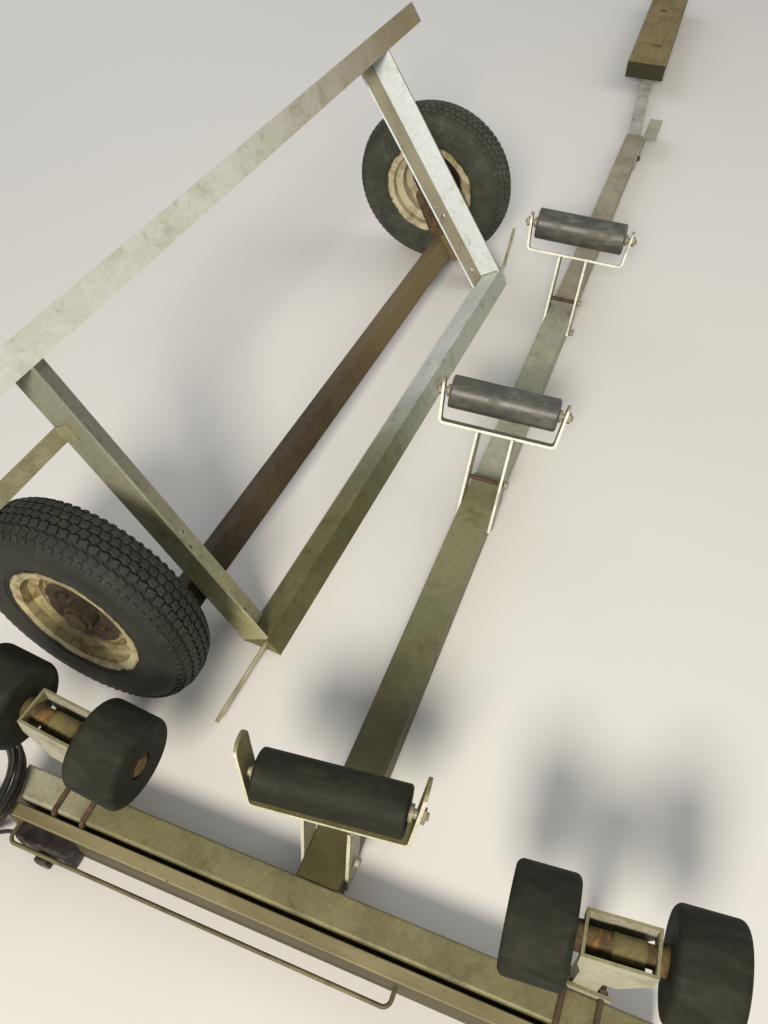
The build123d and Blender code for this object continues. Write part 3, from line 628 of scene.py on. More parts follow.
@dataclass(frozen=True)
class Spot:
    """A place on the trailer with its own directions, in the part's frame."""

    origin: Vector
    side: Vector
    up: Vector

    @property
    def out(self) -> Vector:
        """The direction out of the plane of side and up."""
        return self.side.cross(self.up)

    def at(self, side: float, up: float, out: float) -> Vector:
        """The point this many millimetres to the side, up and out from the spot."""
        return self.origin + (self.side * side + self.up * up + self.out * out) * MM

    def facing(self, side: float, up: float, out: float, towards: Vector, size: float = 1.0) -> Matrix:
        """Stand a template at a point, with its top in a direction.

        Args:
            side: how far the point is to the side, in millimetres.
            up: how far up it is.
            out: how far out it is.
            towards: where the template's top looks.
            size: how much larger than the template its copy is.

        Returns:
            The copy's place.
        """
        top = towards.normalized()
        start = self.up if abs(top.dot(self.up)) < 0.9 else self.side
        across = start.cross(top).normalized()
        turned = Matrix((across, top.cross(across), top)).transposed().to_4x4()
        return Matrix.Translation(self.at(side, up, out)) @ turned @ Matrix.Scale(size, 4)


@dataclass(frozen=True)
class BracketPlan:
    """One keel bracket as the part has it: where its foot stands, and how it leans and twists, in degrees."""

    name: str
    foot_x: float
    lean: float
    twist: float
    leg: float
    pin_up: float
    tube_half: float
    bolts: tuple[float, ...]
    leg_half_width: float = 25.0
    foot_clear: float = 4.0

    def legs(self) -> Spot:
        """Find the bracket's foot.

        Returns:
            The foot, with the side to the left and up along the legs.
        """
        lean = math.radians(self.lean)
        rise = self.leg_half_width * math.sin(lean) + self.foot_clear
        foot = ORIGIN + Vector((self.foot_x, 0, rise)) * MM
        return Spot(foot, LEFT, Vector((math.sin(lean), 0, math.cos(lean))))

    def cradle(self) -> Spot:
        """The same foot, turned as the cradle is twisted on its legs."""
        legs = self.legs()
        return Spot(legs.origin, Matrix.Rotation(math.radians(self.twist), 3, legs.up) @ legs.side, legs.up)


# The spine's rear end, on the floor
ORIGIN = Vector((-2.411491, -0.095031, 0.0))
# The road base stands tipped up on its lower rail, which lies on the floor, turned a little from the spine
BASE_LENGTH = 1560.0
BASE_TURN, BASE_TIP = math.radians(-2.7), math.atan2(75, 49)
BASE_RAIL = Vector((math.cos(BASE_TURN), math.sin(BASE_TURN), 0))
BASE_LEG = Vector((-BASE_RAIL.y * math.cos(BASE_TIP), BASE_RAIL.x * math.cos(BASE_TIP), math.sin(BASE_TIP)))
BASE_FACE = BASE_RAIL.cross(BASE_LEG)
BASE_CORNER = ORIGIN + Vector((467, 380, 6 * math.sin(BASE_TIP))) * MM
BRACKETS = (
    # name, foot_x, lean, twist, leg, pin_up, tube_half, bolts
    BracketPlan("rear", 80, 8, 7, 200, 68, 40, (66,)),
    BracketPlan("middle", 962, 34, 8, 234, 78, 40, (120,)),
    BracketPlan("front", 1800, 30, 5, 222, 80, 36.5, (10, 100)),
)


class Paint:
    """The finished materials, made once each and given to pieces by name or by slot."""

    def __init__(self, wheels: dict[str, Spot]) -> None:
        """Make the materials of the slots, and those of pieces whose tones differ from the rest, by dirt and by
        painted light and shade.

        Args:
            wheels: the place of the near and of the far wheel.
        """
        self.by_slot: dict[Slot, bpy.types.Material] = {
            Slot.GALVANISED: DullZinc("chalky_galvanised_steel").build(),
            Slot.RUSTY: RustedSteel("rusted_bare_steel").build(),
            Slot.TYRE: CrackedTyre("cracked_tyre_rubber").build(),
            Slot.ROLLER: ScuffedRubber("dark_roller_rubber").build(),
            Slot.TIMBER: GreyedTimber("greyed_softwood").build(),
            Slot.BOARD: PaintedBoard("painted_plywood").build(),
            Slot.LAMP: FadedLens("faded_acrylic_lens").build(),
            Slot.CABLE: BlackSheath("dusty_cable_sheath").build(),
            Slot.CASTING: GreyCasting("painted_iron_casting").build(),
        }
        finishes = {
            **self.road_base(), **self.keel_frame(), **self.rollers(), **self.wheels(wheels),
            **{f"keel_bracket_{plan.name}": self.bracket(plan) for plan in BRACKETS},
        }
        self.by_node = {node: finish.build() for node, finish in finishes.items()}
        alike = {
            "bilge_bracket_left": ("bilge_bracket_right",),
            "keel_roller_middle": ("keel_roller_front",),
            "axle_beam": ("axle_pads",),
            "bilge_axle_left": ("bilge_axle_right",),
            "bilge_sleeve_left": ("bilge_sleeve_right",),
            "hub_near": ("hub_far", "wheel_nuts_near", "wheel_nuts_far"),
            "bilge_wheel_left_inner": ("bilge_wheel_left_outer", "bilge_wheel_right_inner", "bilge_wheel_right_outer"),
            "spine_front": [f"keel_{kind}_{plan.name}" for kind in ("pin", "bolts") for plan in BRACKETS],
        }
        for like, nodes in alike.items():
            self.by_node.update({node: self.by_node[like] for node in nodes})

    @staticmethod
    def road_base() -> dict[str, Finish]:
        """Tell the finishes of the tipped road base.

        Returns:
            Each piece's name and its finish.
        """
        rail, face, leg = tuple(BASE_RAIL), tuple(BASE_FACE), tuple(BASE_LEG)
        near_x, corner_up = BASE_CORNER.dot(BASE_RAIL), BASE_CORNER.dot(BASE_LEG)
        far_x = near_x + BASE_LENGTH * MM
        return {
            # Painted light: the wide face is painted nearly white as a lit face, and the narrow holed plate beside it
            # beige as light thrown up from the floor
            "base_leg_far": DullZinc("leg_zinc_painted_light", "A19B84", "918B73", "C9C3B0", FaceTone("E8F2FB", rail)),
            # Olive and pale near the corner; greyer and darker towards the upper rail as painted shade, and its faces
            # along the rail painted a little darker as shade
            "base_leg_near": DullZinc(
                "olive_leg_zinc_painted_shade", "BDBC97", "AEAB84", face=FaceTone("E6E8E0", rail, Blend.STAIN),
                fade=Fade("8E8F80", leg, corner_up + 0.1, corner_up + 0.6),
            ),
            # Painted light and shade: nearly white at its far half as painted light, dark olive at the near one as
            # painted shade, and its faces across the base's plane darkened as painted shade
            "base_rail_lower": DullZinc(
                "rail_zinc_painted_light_and_shade", "74724A", "62603A", face=FaceTone("C0C2B4", face, Blend.STAIN),
                fade=Fade("D3DBDB", rail, near_x + 0.45, near_x + 1.2),
            ),
            # Pale at the near end, darker and browner towards the far one
            "base_rail_upper": DullZinc(
                "pale_to_brown_rail_zinc", "C6C8C1", "BBBDB2", "D2CFBE", fade=Fade("82785C", rail, far_x - 1.0, far_x + 0.2),
            ),
            "mudguard_stay": DullZinc("stay_zinc", "8F8D71", "7C7A5D"),
            "rail_rod": DullZinc("rod_zinc", "B4AF8F", "8F8964"),
            # Painted shade: dark brown near the near wheel, where the beam lies in shade, lighter towards the far end
            "axle_beam": RustedSteel(
                "brown_steel_painted_shade", "2A210E", "3A2E17", "4C3518", "453B22", 0.35,
                Fade("6A5B3B", rail, near_x + 0.5, near_x + 1.3),
            ),
        }

    @staticmethod
    def keel_frame() -> dict[str, Finish]:
        """Tell the finishes of the spine, the cross beam and what is clamped to it.

        Returns:
            Each piece's name and its finish.
        """
        return {
            "board_rod": DullZinc("rod_zinc_grimy", "6E6846", "4F4A2E"),
            # Darkest at the rear as painted shade, the rear roller's shadow and the light falling off near the camera,
            # and lighter forward
            "spine_rear": DullZinc(
                "tube_zinc_painted_shade", "4F4C27", "423F20",
                fade=Fade("797A5A", tuple(FORWARD), ORIGIN.x + 0.3, ORIGIN.x + 0.95),
            ),
            "spine_middle": DullZinc("grey_tube_zinc", "9C9E8B", "898B77"),
            "spine_front": DullZinc("front_tube_zinc", "98937F", "857E69"),
            "drawbar": DullZinc("drawbar_zinc", "B3B2AA", "95938A", "A39C86"),
            # Paler at the left end, where the cable's hank has kept it clean
            "cross_beam": DullZinc(
                "beam_zinc", "7E7A57", "6C684A",
                fade=Fade("A5A48F", tuple(LEFT), ORIGIN.y + 0.4, ORIGIN.y + 0.55, 0.15),
            ),
            # Painted highlight: the cradles' faces that look along the trailer are painted pale, as faces in the
            # lamp's light
            "bilge_bracket_left": DullZinc("cradle_zinc_painted_highlight", "8A8666", "6E6A4C", face=FaceTone("B0AE9E", tuple(FORWARD))),
        }

    @staticmethod
    def rollers() -> dict[str, Finish]:
        """Tell the finishes of the rollers and of the bilge rollers' axles.

        Returns:
            Each piece's name and its finish.
        """
        return {
            "keel_roller_middle": ScuffedRubber("glossy_roller_rubber", "3D3E39", "66695F", "55543F", 0.4, 0.42),
            "bilge_wheel_left_inner": ScuffedRubber("black_wheel_rubber", "1F2119", "2F3229", "35342A", 0.68, 0.12),
            # The axle's rust is orange where the wheels have worked on it, and its sleeve is greasy
            "bilge_axle_left": RustedSteel("orange_rusted_sleeve", "33260F", "51401E", "7E5A26", "564D2E", 0.7),
            "bilge_sleeve_left": RustedSteel("greasy_sleeve", "4B4626", "5E5730", "6B5428", "6F683E", 0.3),
        }

    @staticmethod
    def wheels(wheels: dict[str, Spot]) -> dict[str, Finish]:
        """Tell the finishes of the road wheels.

        Args:
            wheels: the place of the near and of the far wheel.

        Returns:
            Each piece's name and its finish.
        """
        # The near rim's cream and stain are painted darker than the far one's, as painted shade
        creams = {"near": ("A49A72", "5E471D"), "far": ("B2AA8C", "7E6F4E")}
        return {
            "hub_near": RustedSteel("dark_rusted_hub", "1C160C", "2E2313", "44301A", "3F3721", 0.5),
            # The far tyre is dusty and painted paler as painted light; the near one is painted nearly black as painted
            # shade
            "treaded_tyre_near": CrackedTyre("shaded_black_tyre_rubber", "171910", "23261B", "35331F"),
            "treaded_tyre_far": CrackedTyre("dusty_tyre_rubber_painted_light", "2E3026", "404337", "524F3C", "1C1D16"),
            **{f"rim_{end}": CreamRim(f"cream_rim_{end}", tuple(wheel.origin), tuple(BASE_RAIL), *creams[end])
               for end, wheel in wheels.items()},
        }

    @staticmethod
    def bracket(plan: BracketPlan) -> Finish:
        """Tell a keel bracket's finish: cut edges painted pale as a painted highlight, pale legs, and a darker tone on
        its cradle.

        Args:
            plan: the bracket.

        Returns:
            Its finish.
        """
        # The first tone is a painted highlight on the faces that look out of the cradle's plane; the last darkens the
        # top of the legs, at the cradle
        rear = ("D3D3BE", "A3A28A", "726E4A")
        edge, flat, dirty = rear if plan.name == "rear" else ("D3D6CD", "A3A08A", "96937C")
        legs = plan.legs()
        top, border = legs.origin.dot(legs.up) + plan.leg * MM, 0.04
        return DullZinc(
            f"{plan.name}_bracket_zinc", flat, flat, face=FaceTone(edge, tuple(plan.cradle().out)),
            fade=Fade(dirty, tuple(legs.up), top - border, top, border),
        )

    def dress(self, piece: Piece, slot: Slot) -> None:
        """Give a piece the material of its own name, or else that of its slot."""
        piece.data.materials.clear()
        piece.data.materials.append(self.by_node.get(piece.name) or self.by_slot[slot])


class Bench:
    """The modelling bench: picks, places, joins and hands over the new pieces."""

    def __init__(self, paint: Paint) -> None:
        """Keep the materials at hand, and the names of the pieces made."""
        self.paint = paint
        self.made: list[str] = []

    @staticmethod
    def clear() -> None:
        """Leave edit mode and select nothing."""
        if bpy.context.object and bpy.context.object.mode != "OBJECT":
            bpy.ops.object.mode_set(mode="OBJECT")
        bpy.ops.object.select_all(action="DESELECT")

    @classmethod
    def select(cls, pieces: Iterable[Piece]) -> None:
        """Select these pieces alone, with the first one active.

        Args:
            pieces: the pieces.
        """
        cls.clear()
        chosen = list(pieces)
        for piece in chosen:
            piece.select_set(True)
        bpy.context.view_layer.objects.active = chosen[0]

    @classmethod
    def edit_top(cls, template: Piece) -> None:
        """Open a template in edit mode with the faces of its flat top selected.

        Args:
            template: the template, with its top towards +Z.
        """
        cls.select([template])
        bpy.ops.object.mode_set(mode="EDIT")
        bpy.ops.mesh.select_mode(type="FACE")
        bpy.ops.mesh.select_all(action="DESELECT")
        bpy.ops.object.mode_set(mode="OBJECT")
        for face in template.data.polygons:
            face.select = face.normal.z > 0.9
        bpy.ops.object.mode_set(mode="EDIT")

    @classmethod
    def rounds(cls, points: Sequence[Vector], centre: Vector, axle: Vector, steps: int) -> Piece:
        """Spin a closed section about an axle.

        Args:
            points: the section's corners in order, in metres.
            centre: a point of the axle.
            axle: the axle's direction.
            steps: how many faces go round.

        Returns:
            The ring, closed and facing outwards.
        """
        weld = 0.00002
        cls.clear()
        bpy.ops.mesh.primitive_plane_add(size=0.01, location=points[0])
        ring = bpy.context.object
        bpy.ops.object.transform_apply(location=True)
        bpy.ops.object.mode_set(mode="EDIT")
        bpy.ops.mesh.select_mode(type="VERT")
        bpy.ops.mesh.select_all(action="SELECT")
        bpy.ops.mesh.merge(type="CENTER")
        for before, after in zip(points, [*points[1:], points[0]]):
            bpy.ops.mesh.extrude_region_move(TRANSFORM_OT_translate={"value": after - before})
        bpy.ops.mesh.select_all(action="SELECT")
        bpy.ops.mesh.remove_doubles(threshold=weld)
        bpy.ops.mesh.spin(steps=steps, angle=2 * math.pi, center=centre, axis=axle)
        bpy.ops.mesh.select_all(action="SELECT")
        bpy.ops.mesh.remove_doubles(threshold=weld)
        bpy.ops.mesh.normals_make_consistent(inside=False)
        bpy.ops.object.mode_set(mode="OBJECT")
        return ring

    @classmethod
    def put(cls, template: Piece, places: Sequence[Matrix]) -> list[Piece]:
        """Copy a template to each place, with a mesh of its own and the place in that mesh.

        Args:
            template: the piece to copy.
            places: where the copies go.

        Returns:
            The copies.
        """
        copies = []
        for place in places:
            copy = template.copy()
            copy.data = template.data.copy()
            bpy.context.collection.objects.link(copy)
            copy.matrix_world = place
            copies.append(copy)
        cls.select(copies)
        bpy.ops.object.transform_apply(location=True, rotation=True, scale=True)
        return copies

    @classmethod
    def join(cls, pieces: Sequence[Piece]) -> Piece:
        """Join pieces into the first one.

        Args:
            pieces: one or more pieces.

        Returns:
            The joined piece.
        """
        cls.select(pieces)
        if len(pieces) > 1:
            bpy.ops.object.join()
        return bpy.context.object

    @classmethod
    def scrap(cls, template: Piece) -> None:
        """Throw a template away once its copies are placed."""
        cls.select([template])
        bpy.ops.object.delete()

    @classmethod
    def stamp(cls, template: Piece, places: Sequence[Matrix]) -> list[Piece]:
        """Copy a template to each place and throw it away.

        Args:
            template: the piece to copy.
            places: where the copies go.

        Returns:
            The copies.
        """
        copies = cls.put(template, places)
        cls.scrap(template)
        return copies

    def hand_over(self, piece: Piece, name: str, slot: Slot, body: str, angle: float = 32.0) -> Piece:
        """Name a finished piece, smooth its round faces, dress it and let it ride on its body.

        Args:
            piece: the finished piece.
            name: its name.
            slot: the record's slot of its finish.
            body: the body it moves with.
            angle: the sharpest angle in degrees that is shaded smooth.

        Returns:
            The same piece.
        """
        self.select([piece])
        bpy.ops.object.shade_smooth_by_angle(angle=math.radians(angle))
        piece.name = name
        piece.data.name = name
        self.paint.dress(piece, slot)
        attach(piece, body)
        self.made.append(name)
        return piece


@dataclass
class LightingCable:
    """The lighting cable: from the lamp, wound into the hank over the beam's end, and on to its plug."""

    bench: Bench
    plug: Piece
    radius: float = 4.0
    ring_centre: Axis = (-75.0, 700.0, 72.0)
    ring_radius: float = 135.0
    ring_tilt: float = 18.8
    ring_oval: float = 4.0
    oval_angle: float = 30.0
    first_angle: float = 160.5
    last_angle: float = 2932.0
    points_in_a_turn: float = 13.0
    first_layer: float = 5.0
    turn_spacing: float = 12.0
    layer_pitch: float = 9.6
    fan: float = 0.28
    fan_angle: float = 215.0
    curve_share: float = 0.985
    run: tuple = (
        (-80, 546, 40), (-80, 570, 40), (-90, 602, 26), (-107, 632, 14), (-122, 663, 14),
        (-131, 695, 19), (-139, 725, 28), (-152, 748, 37), (-178, 762, 44),
    )
    tail: tuple = ((-26, 818, 32), (-44, 808, 30), (-50, 785, 26), (-54, 764, 23), (-58, 737, 22), (-60, 709, 22))

    def hank(self) -> list[Axis]:
        """Wind the hank's turns, which differ in size, lie beside and on each other and fan out on one side.

        Returns:
            The points of its middle line, in millimetres from the spine's rear end.
        """
        tilt = math.radians(self.ring_tilt)
        steps = round((self.last_angle - self.first_angle) / 360 * self.points_in_a_turn)
        points = []
        for step in range(steps + 1):
            angle = self.first_angle + (self.last_angle - self.first_angle) * step / steps
            turns = (angle - self.first_angle) / 360
            growth = 2 * self.layer_pitch / (2 * math.pi) * self.turn_spacing * turns
            layer = math.sqrt(self.first_layer ** 2 + growth)
            phase = 2 * math.pi * (layer - self.first_layer) / self.layer_pitch + math.pi
            fan = 1.0 + self.fan * max(0.0, math.cos(math.radians(angle - self.fan_angle)))
            oval = self.ring_oval * math.cos(math.radians(2 * angle + self.oval_angle))
            radius = self.ring_radius + fan * layer * math.cos(phase) + oval
            lift = fan * layer * math.sin(phase)
            along, across = radius * math.cos(math.radians(angle)), radius * math.sin(math.radians(angle))
            x = self.ring_centre[0] + along
            y = self.ring_centre[1] + across * math.cos(tilt) + lift * math.sin(tilt)
            z = self.ring_centre[2] - across * math.sin(tilt) + lift * math.cos(tilt)
            points.append((x, y, z))
        return points

    def build(self) -> None:
        route = [*self.run, *self.hank(), *self.tail]
        curve = bpy.data.curves.new("lighting_cable", "CURVE")
        curve.dimensions = "3D"
        spline = curve.splines.new("NURBS")
        spline.points.add(len(route) - 1)
        for point, place in zip(spline.points, route):
            point.co = (*(ORIGIN + Vector(place) * MM), 1.0)
        spline.order_u = 3
        spline.use_endpoint_u = True
        spline.resolution_u = 5
        curve.bevel_depth = self.radius * MM
        curve.bevel_resolution = 3
        curve.use_fill_caps = True
        cable = bpy.data.objects.new("lighting_cable", curve)
        bpy.context.collection.objects.link(cable)
        self.bench.paint.dress(cable, Slot.CABLE)
        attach(cable, "trailer")
        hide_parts("cable_run", "cable_hank", "cable_tail")
        self.bench.made.append(cable.name)


@dataclass
class TreadTyre:
    """Old crossply trailer tyre: a spun carcass with a beaded sidewall and rows of small tread blocks."""

    bench: Bench
    end: str
    centre: Vector
    axle: Vector
    steps: int = 96
    blocks_round: int = 76
    rows: tuple[float, ...] = (-36.0, -18.0, 0.0, 18.0, 36.0)
    block_size: Axis = (16.5, 14.0, 5.5)
    zigzag: float = 14.0
    crown_radius: float = 251.6
    crown_half_flat: float = 14.0
    crown_drop: float = 11.0
    shoulder_width: float = 33.0
    lug_size: Axis = (9.5, 11.0, 4.0)
    lug_radius: float = 234.5
    lug_across: float = 51.2
    lug_lean: float = 48.0
    chamfer: tuple[float, float] = (1.6, 1.2)
    outside: tuple = (
        (127, 46), (143.5, 49.5), (149, 54), (152, 53.6), (155, 56.5), (158, 56), (176, 60.2), (196, 61.6),
        (214, 59), (217, 58), (226, 54), (231, 49), (237, 44), (242, 32), (246, 14),
    )
    inside: tuple = ((127, 37), (143.5, 40.5), (196, 53), (226, 46), (237, 30))

    def section(self) -> list[Vector]:
        """Draw the carcass's closed section.

        Returns:
            Its corners, in metres.
        """
        ring = [*self.outside, *((r, -w) for r, w in reversed(self.outside)), *((r, -w) for r, w in self.inside)]
        ring += [(r, w) for r, w in reversed(self.inside)]
        return [self.centre + (UP * r + self.axle * w) * MM for r, w in ring]

    def block(self, size: Axis) -> Piece:
        """Model one tread block with its worn, chamfered top.

        Args:
            size: its length, width and height.

        Returns:
            The template, with its top towards +Z.
        """
        border, drop = self.chamfer
        Bench.clear()
        bpy.ops.mesh.primitive_cube_add(size=1.0)
        block = bpy.context.object
        block.scale = [side * MM for side in size]
        block.location = (0, 0, -size[2] / 2 * MM)
        bpy.ops.object.transform_apply(location=True, scale=True)
        Bench.edit_top(block)
        bpy.ops.transform.translate(value=(0, 0, -drop * MM))
        bpy.ops.mesh.inset(thickness=border * MM, depth=drop * MM)
        bpy.ops.object.mode_set(mode="OBJECT")
        return block

    def stand(self, step: float, radius: float, across: float, wedge: Matrix) -> Matrix:
        """Stand a block on the carcass.

        Args:
            step: how many blocks round the tyre it stands.
            radius: how far its top is from the axle.
            across: how far it is from the tyre's middle.
            wedge: how it is turned and leans.

        Returns:
            Its place.
        """
        out = Matrix.Rotation(2 * math.pi * step / self.blocks_round, 3, self.axle) @ UP
        spot = self.centre + (out * radius + self.axle * across) * MM
        axes = Matrix((self.axle.cross(out), self.axle, out)).transposed()
        return Matrix.Translation(spot) @ (axes @ wedge).to_4x4()

    def places(self) -> list[Matrix]:
        """Find the tread blocks' places, row by row, staggered and turned in a zigzag.

        Returns:
            The places.
        """
        found = []
        for row, across in enumerate(self.rows):
            shoulder = max(0.0, abs(across) - self.crown_half_flat)
            radius = self.crown_radius - self.crown_drop * shoulder / self.shoulder_width
            lean = math.copysign(math.atan2(self.crown_drop, self.shoulder_width), across) if shoulder else 0.0
            turn = math.radians(self.zigzag) * (1 if row % 2 else -1)
            wedge = Matrix.Rotation(-lean, 3, "X") @ Matrix.Rotation(turn, 3, "Z")
            found += [self.stand(at + 0.5 * (row % 2), radius, across, wedge) for at in range(self.blocks_round)]
        return found

    def lugs(self) -> list[Matrix]:
        """Find the shoulder lugs' places, on both sides.

        Returns:
            The places.
        """
        found = []
        for hand in (-1, 1):
            wedge = Matrix.Rotation(-hand * math.radians(self.lug_lean), 3, "X")
            across = hand * self.lug_across
            found += [self.stand(at + 0.25, self.lug_radius, across, wedge) for at in range(self.blocks_round)]
        return found

    def build(self) -> None:
        """Spin the carcass, lay the tread on it and put it in place of the plain tyre."""
        bench = self.bench
        carcass = bench.rounds(self.section(), self.centre, self.axle, self.steps)
        block, lug = self.block(self.block_size), self.block(self.lug_size)
        pieces = [carcass, *bench.stamp(block, self.places()), *bench.stamp(lug, self.lugs())]
        tyre = bench.hand_over(bench.join(pieces), f"treaded_tyre_{self.end}", Slot.TYRE, f"{self.end}_wheel")
        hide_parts(f"tyre_{self.end}")


@dataclass
class Fastener:
    """Templates of a washer, nut and threaded stud of 10 mm across its thread, top towards +Z."""

    thread: float = 5.0
    thread_pitch: float = 1.5
    thread_depth: float = 0.7
    tip_depth: float = 0.9
    bore: float = 0.4
    thread_corners: int = 14
    corner_radius: float = 9.2
    washer: float = 1.8
    washer_wider: float = 1.15
    washer_corners: int = 20
    nut_height: float = 8.0
    nut_top: tuple = ((1.3, 0.9),)
    stud: float = 6.0
    head_height: float = 6.4
    head_top: tuple = ((1.4, 0.9), (3.2, -0.6))

    def nut(self) -> Piece:
        """Model a chamfered hexagon nut on its washer, with the stud's end standing out of it."""
        pieces = self.hexagon(self.nut_height, self.nut_top)
        return Bench.join([*pieces, self.threads(self.washer + self.nut_height, self.stud)])

    def bolt_head(self) -> Piece:
        """Model a hexagon bolt head on its washer, with a shallow dish in its top."""
        return Bench.join(self.hexagon(self.head_height, self.head_top))

    def hexagon(self, height: float, insets: Sequence[tuple[float, float]]) -> list[Piece]:
        """Model a hexagon on its washer.

        Args:
            height: the hexagon's height.
            insets: how far each step of its top goes in, and how far up.

        Returns:
            The washer and the hexagon.
        """
        washer = self.disc(self.corner_radius * self.washer_wider, 0.0, self.washer, self.washer_corners)
        hexagon = self.disc(self.corner_radius, self.washer, self.washer + height, 6)
        Bench.edit_top(hexagon)
        for thickness, depth in insets:
            bpy.ops.mesh.inset(thickness=thickness * MM, depth=depth * MM)
        bpy.ops.object.mode_set(mode="OBJECT")
        return [washer, hexagon]

    def threads(self, foot: float, length: float) -> Piece:
        """Spin a stub of thread.

        Args:
            foot: the height at which it starts.
            length: its length.

        Returns:
            The stub.
        """
        ridges = max(2, round(length / self.thread_pitch))
        section = [(self.bore, foot)]
        for ridge in range(ridges):
            low = foot + length * ridge / ridges
            section += [(self.thread - self.thread_depth, low), (self.thread, low + 0.5 * length / ridges)]
        section += [(self.thread - self.tip_depth, foot + length), (self.bore, foot + length)]
        points = [Vector((r, 0, z)) * MM for r, z in section]
        return Bench.rounds(points, Vector((0, 0, 0)), UP, self.thread_corners)

    @staticmethod
    def disc(radius: float, low: float, high: float, corners: int, easing: float = 0.35) -> Piece:
        """Add a round or hexagonal disc and ease its edges.

        Args:
            radius: its radius, to the corners.
            low: the height of its foot.
            high: the height of its top.
            corners: how many corners it has.
            easing: how far its edges are cut back.

        Returns:
            The disc.
        """
        Bench.clear()
        bpy.ops.mesh.primitive_cylinder_add(
            vertices=corners, radius=radius * MM, depth=(high - low) * MM, location=(0, 0, (low + high) / 2 * MM),
        )
        disc = bpy.context.object
        bpy.ops.object.transform_apply(location=True)
        bevel = disc.modifiers.new("edge", "BEVEL")
        bevel.width = easing * MM
        bevel.segments = 1
        bpy.ops.object.modifier_apply(modifier="edge")
        return disc


@dataclass
class Bolts:
    """All the nuts, bolt heads and studs that the photograph shows or that such a trailer has."""

    bench: Bench
    wheels: dict[str, Spot]
    nut_circle: float = 50.0
    nut_out: float = 18.0
    nut_size: float = 0.95
    pin_thread: float = 7.2
    pin_length: float = 5.0
    shank_radius: float = 6.0
    shank_corners: int = 16
    shank_clear: float = 0.5
    cradle_half: float = 142.0
    cradle_splay: float = 6.0
    bar_thickness: float = 9.0
    clamp_plate: Axis = (44, 470, 50)
    clamp_half_wide: float = 30.0
    clamp_half_high: float = 35.0
    clamp_thread: float = 5.2
    clamp_length: float = 15.5
    winch_bolt: Axis = (2960, -38, 44)
    winch_bolt_size: float = 1.1
    timber_turn: float = 6.6
    timber_length: float = 1021.0
    timber_holes: tuple[float, ...] = (0.21, 0.65, 0.93)
    washer: tuple = ((6.5, -0.5), (6.5, 1.6), (13, 1.9), (14.5, 0.9), (14.5, -0.5))
    washer_corners: int = 24

    def build(self) -> None:
        """Model the two templates and place their copies."""
        nut = Fastener().nut()
        head = Fastener().bolt_head()
        self.wheel_nuts(nut)
        self.keel_fasteners(head)
        self.clamp_threads()
        self.winch_bracket_bolt(head)
        self.timber_washers()
        self.bench.scrap(nut)
        self.bench.scrap(head)

    def finish(self, pieces: Sequence[Piece], name: str, slot: Slot = Slot.RUSTY, body: str = "trailer") -> None:
        """Join like fasteners and hand them over as one piece."""
        self.bench.hand_over(self.bench.join(pieces), name, slot, body)

    def wheel_nuts(self, nut: Piece) -> None:
        """Put the four nuts that hold each rim's disc on its hub.

        Args:
            nut: the nut's template.
        """
        for end, wheel in self.wheels.items():
            places = []
            for at in range(4):
                angle, ring = math.radians(45 + 90 * at), self.nut_circle
                side, up = ring * math.cos(angle), ring * math.sin(angle)
                places.append(wheel.facing(side, up, self.nut_out, wheel.out, self.nut_size))
            self.finish(self.bench.put(nut, places), f"wheel_nuts_{end}", body=f"{end}_wheel")

    def keel_fasteners(self, head: Piece) -> None:
        """Put the stub ends of each roller pin, and the bolts across each pair of legs, in the tube and over it.

        Args:
            head: the bolt head's template.
        """
        for plan in BRACKETS:
            cradle, legs = plan.cradle(), plan.legs()
            face = self.cradle_half + plan.pin_up * math.tan(math.radians(self.cradle_splay)) + self.bar_thickness
            stub = Fastener(thread=self.pin_thread).threads(0, self.pin_length)
            ends = [cradle.facing(hand * face, plan.leg + plan.pin_up, 0, cradle.side * hand) for hand in (-1, 1)]
            right = -plan.tube_half - self.bar_thickness
            heads = self.bench.put(head, [legs.facing(right, up, 0, -legs.side) for up in plan.bolts])
            self.finish([*self.bench.stamp(stub, ends), *heads], f"keel_bolts_{plan.name}", Slot.GALVANISED)
            # A bolt inside the tube shows no shank
            if plan.bolts[-1] < 2 * plan.tube_half:
                continue
            reach = -right - self.shank_clear
            shank = Fastener.disc(self.shank_radius, -reach, reach, self.shank_corners)
            places = [legs.facing(0, plan.bolts[-1], 0, legs.side)]
            self.finish(self.bench.stamp(shank, places), f"keel_shank_{plan.name}")

    def clamp_threads(self) -> None:
        """Put the threaded ends of the U-bolts, which stand out of their nuts on the clamp plates."""
        x, y, z = self.clamp_plate
        wide, high = self.clamp_half_wide, self.clamp_half_high
        for hand, name in ((1, "left"), (-1, "right")):
            spot = Spot(ORIGIN + Vector((x, hand * y, z)) * MM, LEFT, UP)
            stub = Fastener(thread=self.clamp_thread).threads(0, self.clamp_length)
            places = [spot.facing(side, up, 0, FORWARD) for side in (-wide, wide) for up in (-high, high)]
            self.finish(self.bench.stamp(stub, places), f"clamp_threads_{name}")

    def winch_bracket_bolt(self, head: Piece) -> None:
        """Put the one bolt that holds the winch bracket to the front tube; the other hole is empty.

        Args:
            head: the bolt head's template.
        """
        spot = Spot(ORIGIN + Vector(self.winch_bolt) * MM, FORWARD, UP)
        place = spot.facing(0, 0, 0, -LEFT, self.winch_bolt_size)
        self.finish(self.bench.put(head, [place]), "winch_bracket_bolt")

    def timber_washers(self) -> None:
        """Put rusted washers in the timber round its three bolt holes."""
        low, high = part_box("drawbar_timber")
        turn = math.radians(self.timber_turn)
        along = Vector((math.cos(turn), math.sin(turn), 0))
        middle = (Vector(low) + Vector(high)) / 2
        points = [Vector((r, 0, z)) * MM for r, z in self.washer]
        washer = Bench.rounds(points, Vector((0, 0, 0)), UP, self.washer_corners)
        places = []
        for share in self.timber_holes:
            spot = middle + along * ((share - 0.5) * self.timber_length * MM)
            places.append(Matrix.Translation((spot.x, spot.y, high[2])))
        self.finish(self.bench.stamp(washer, places), "timber_washers")


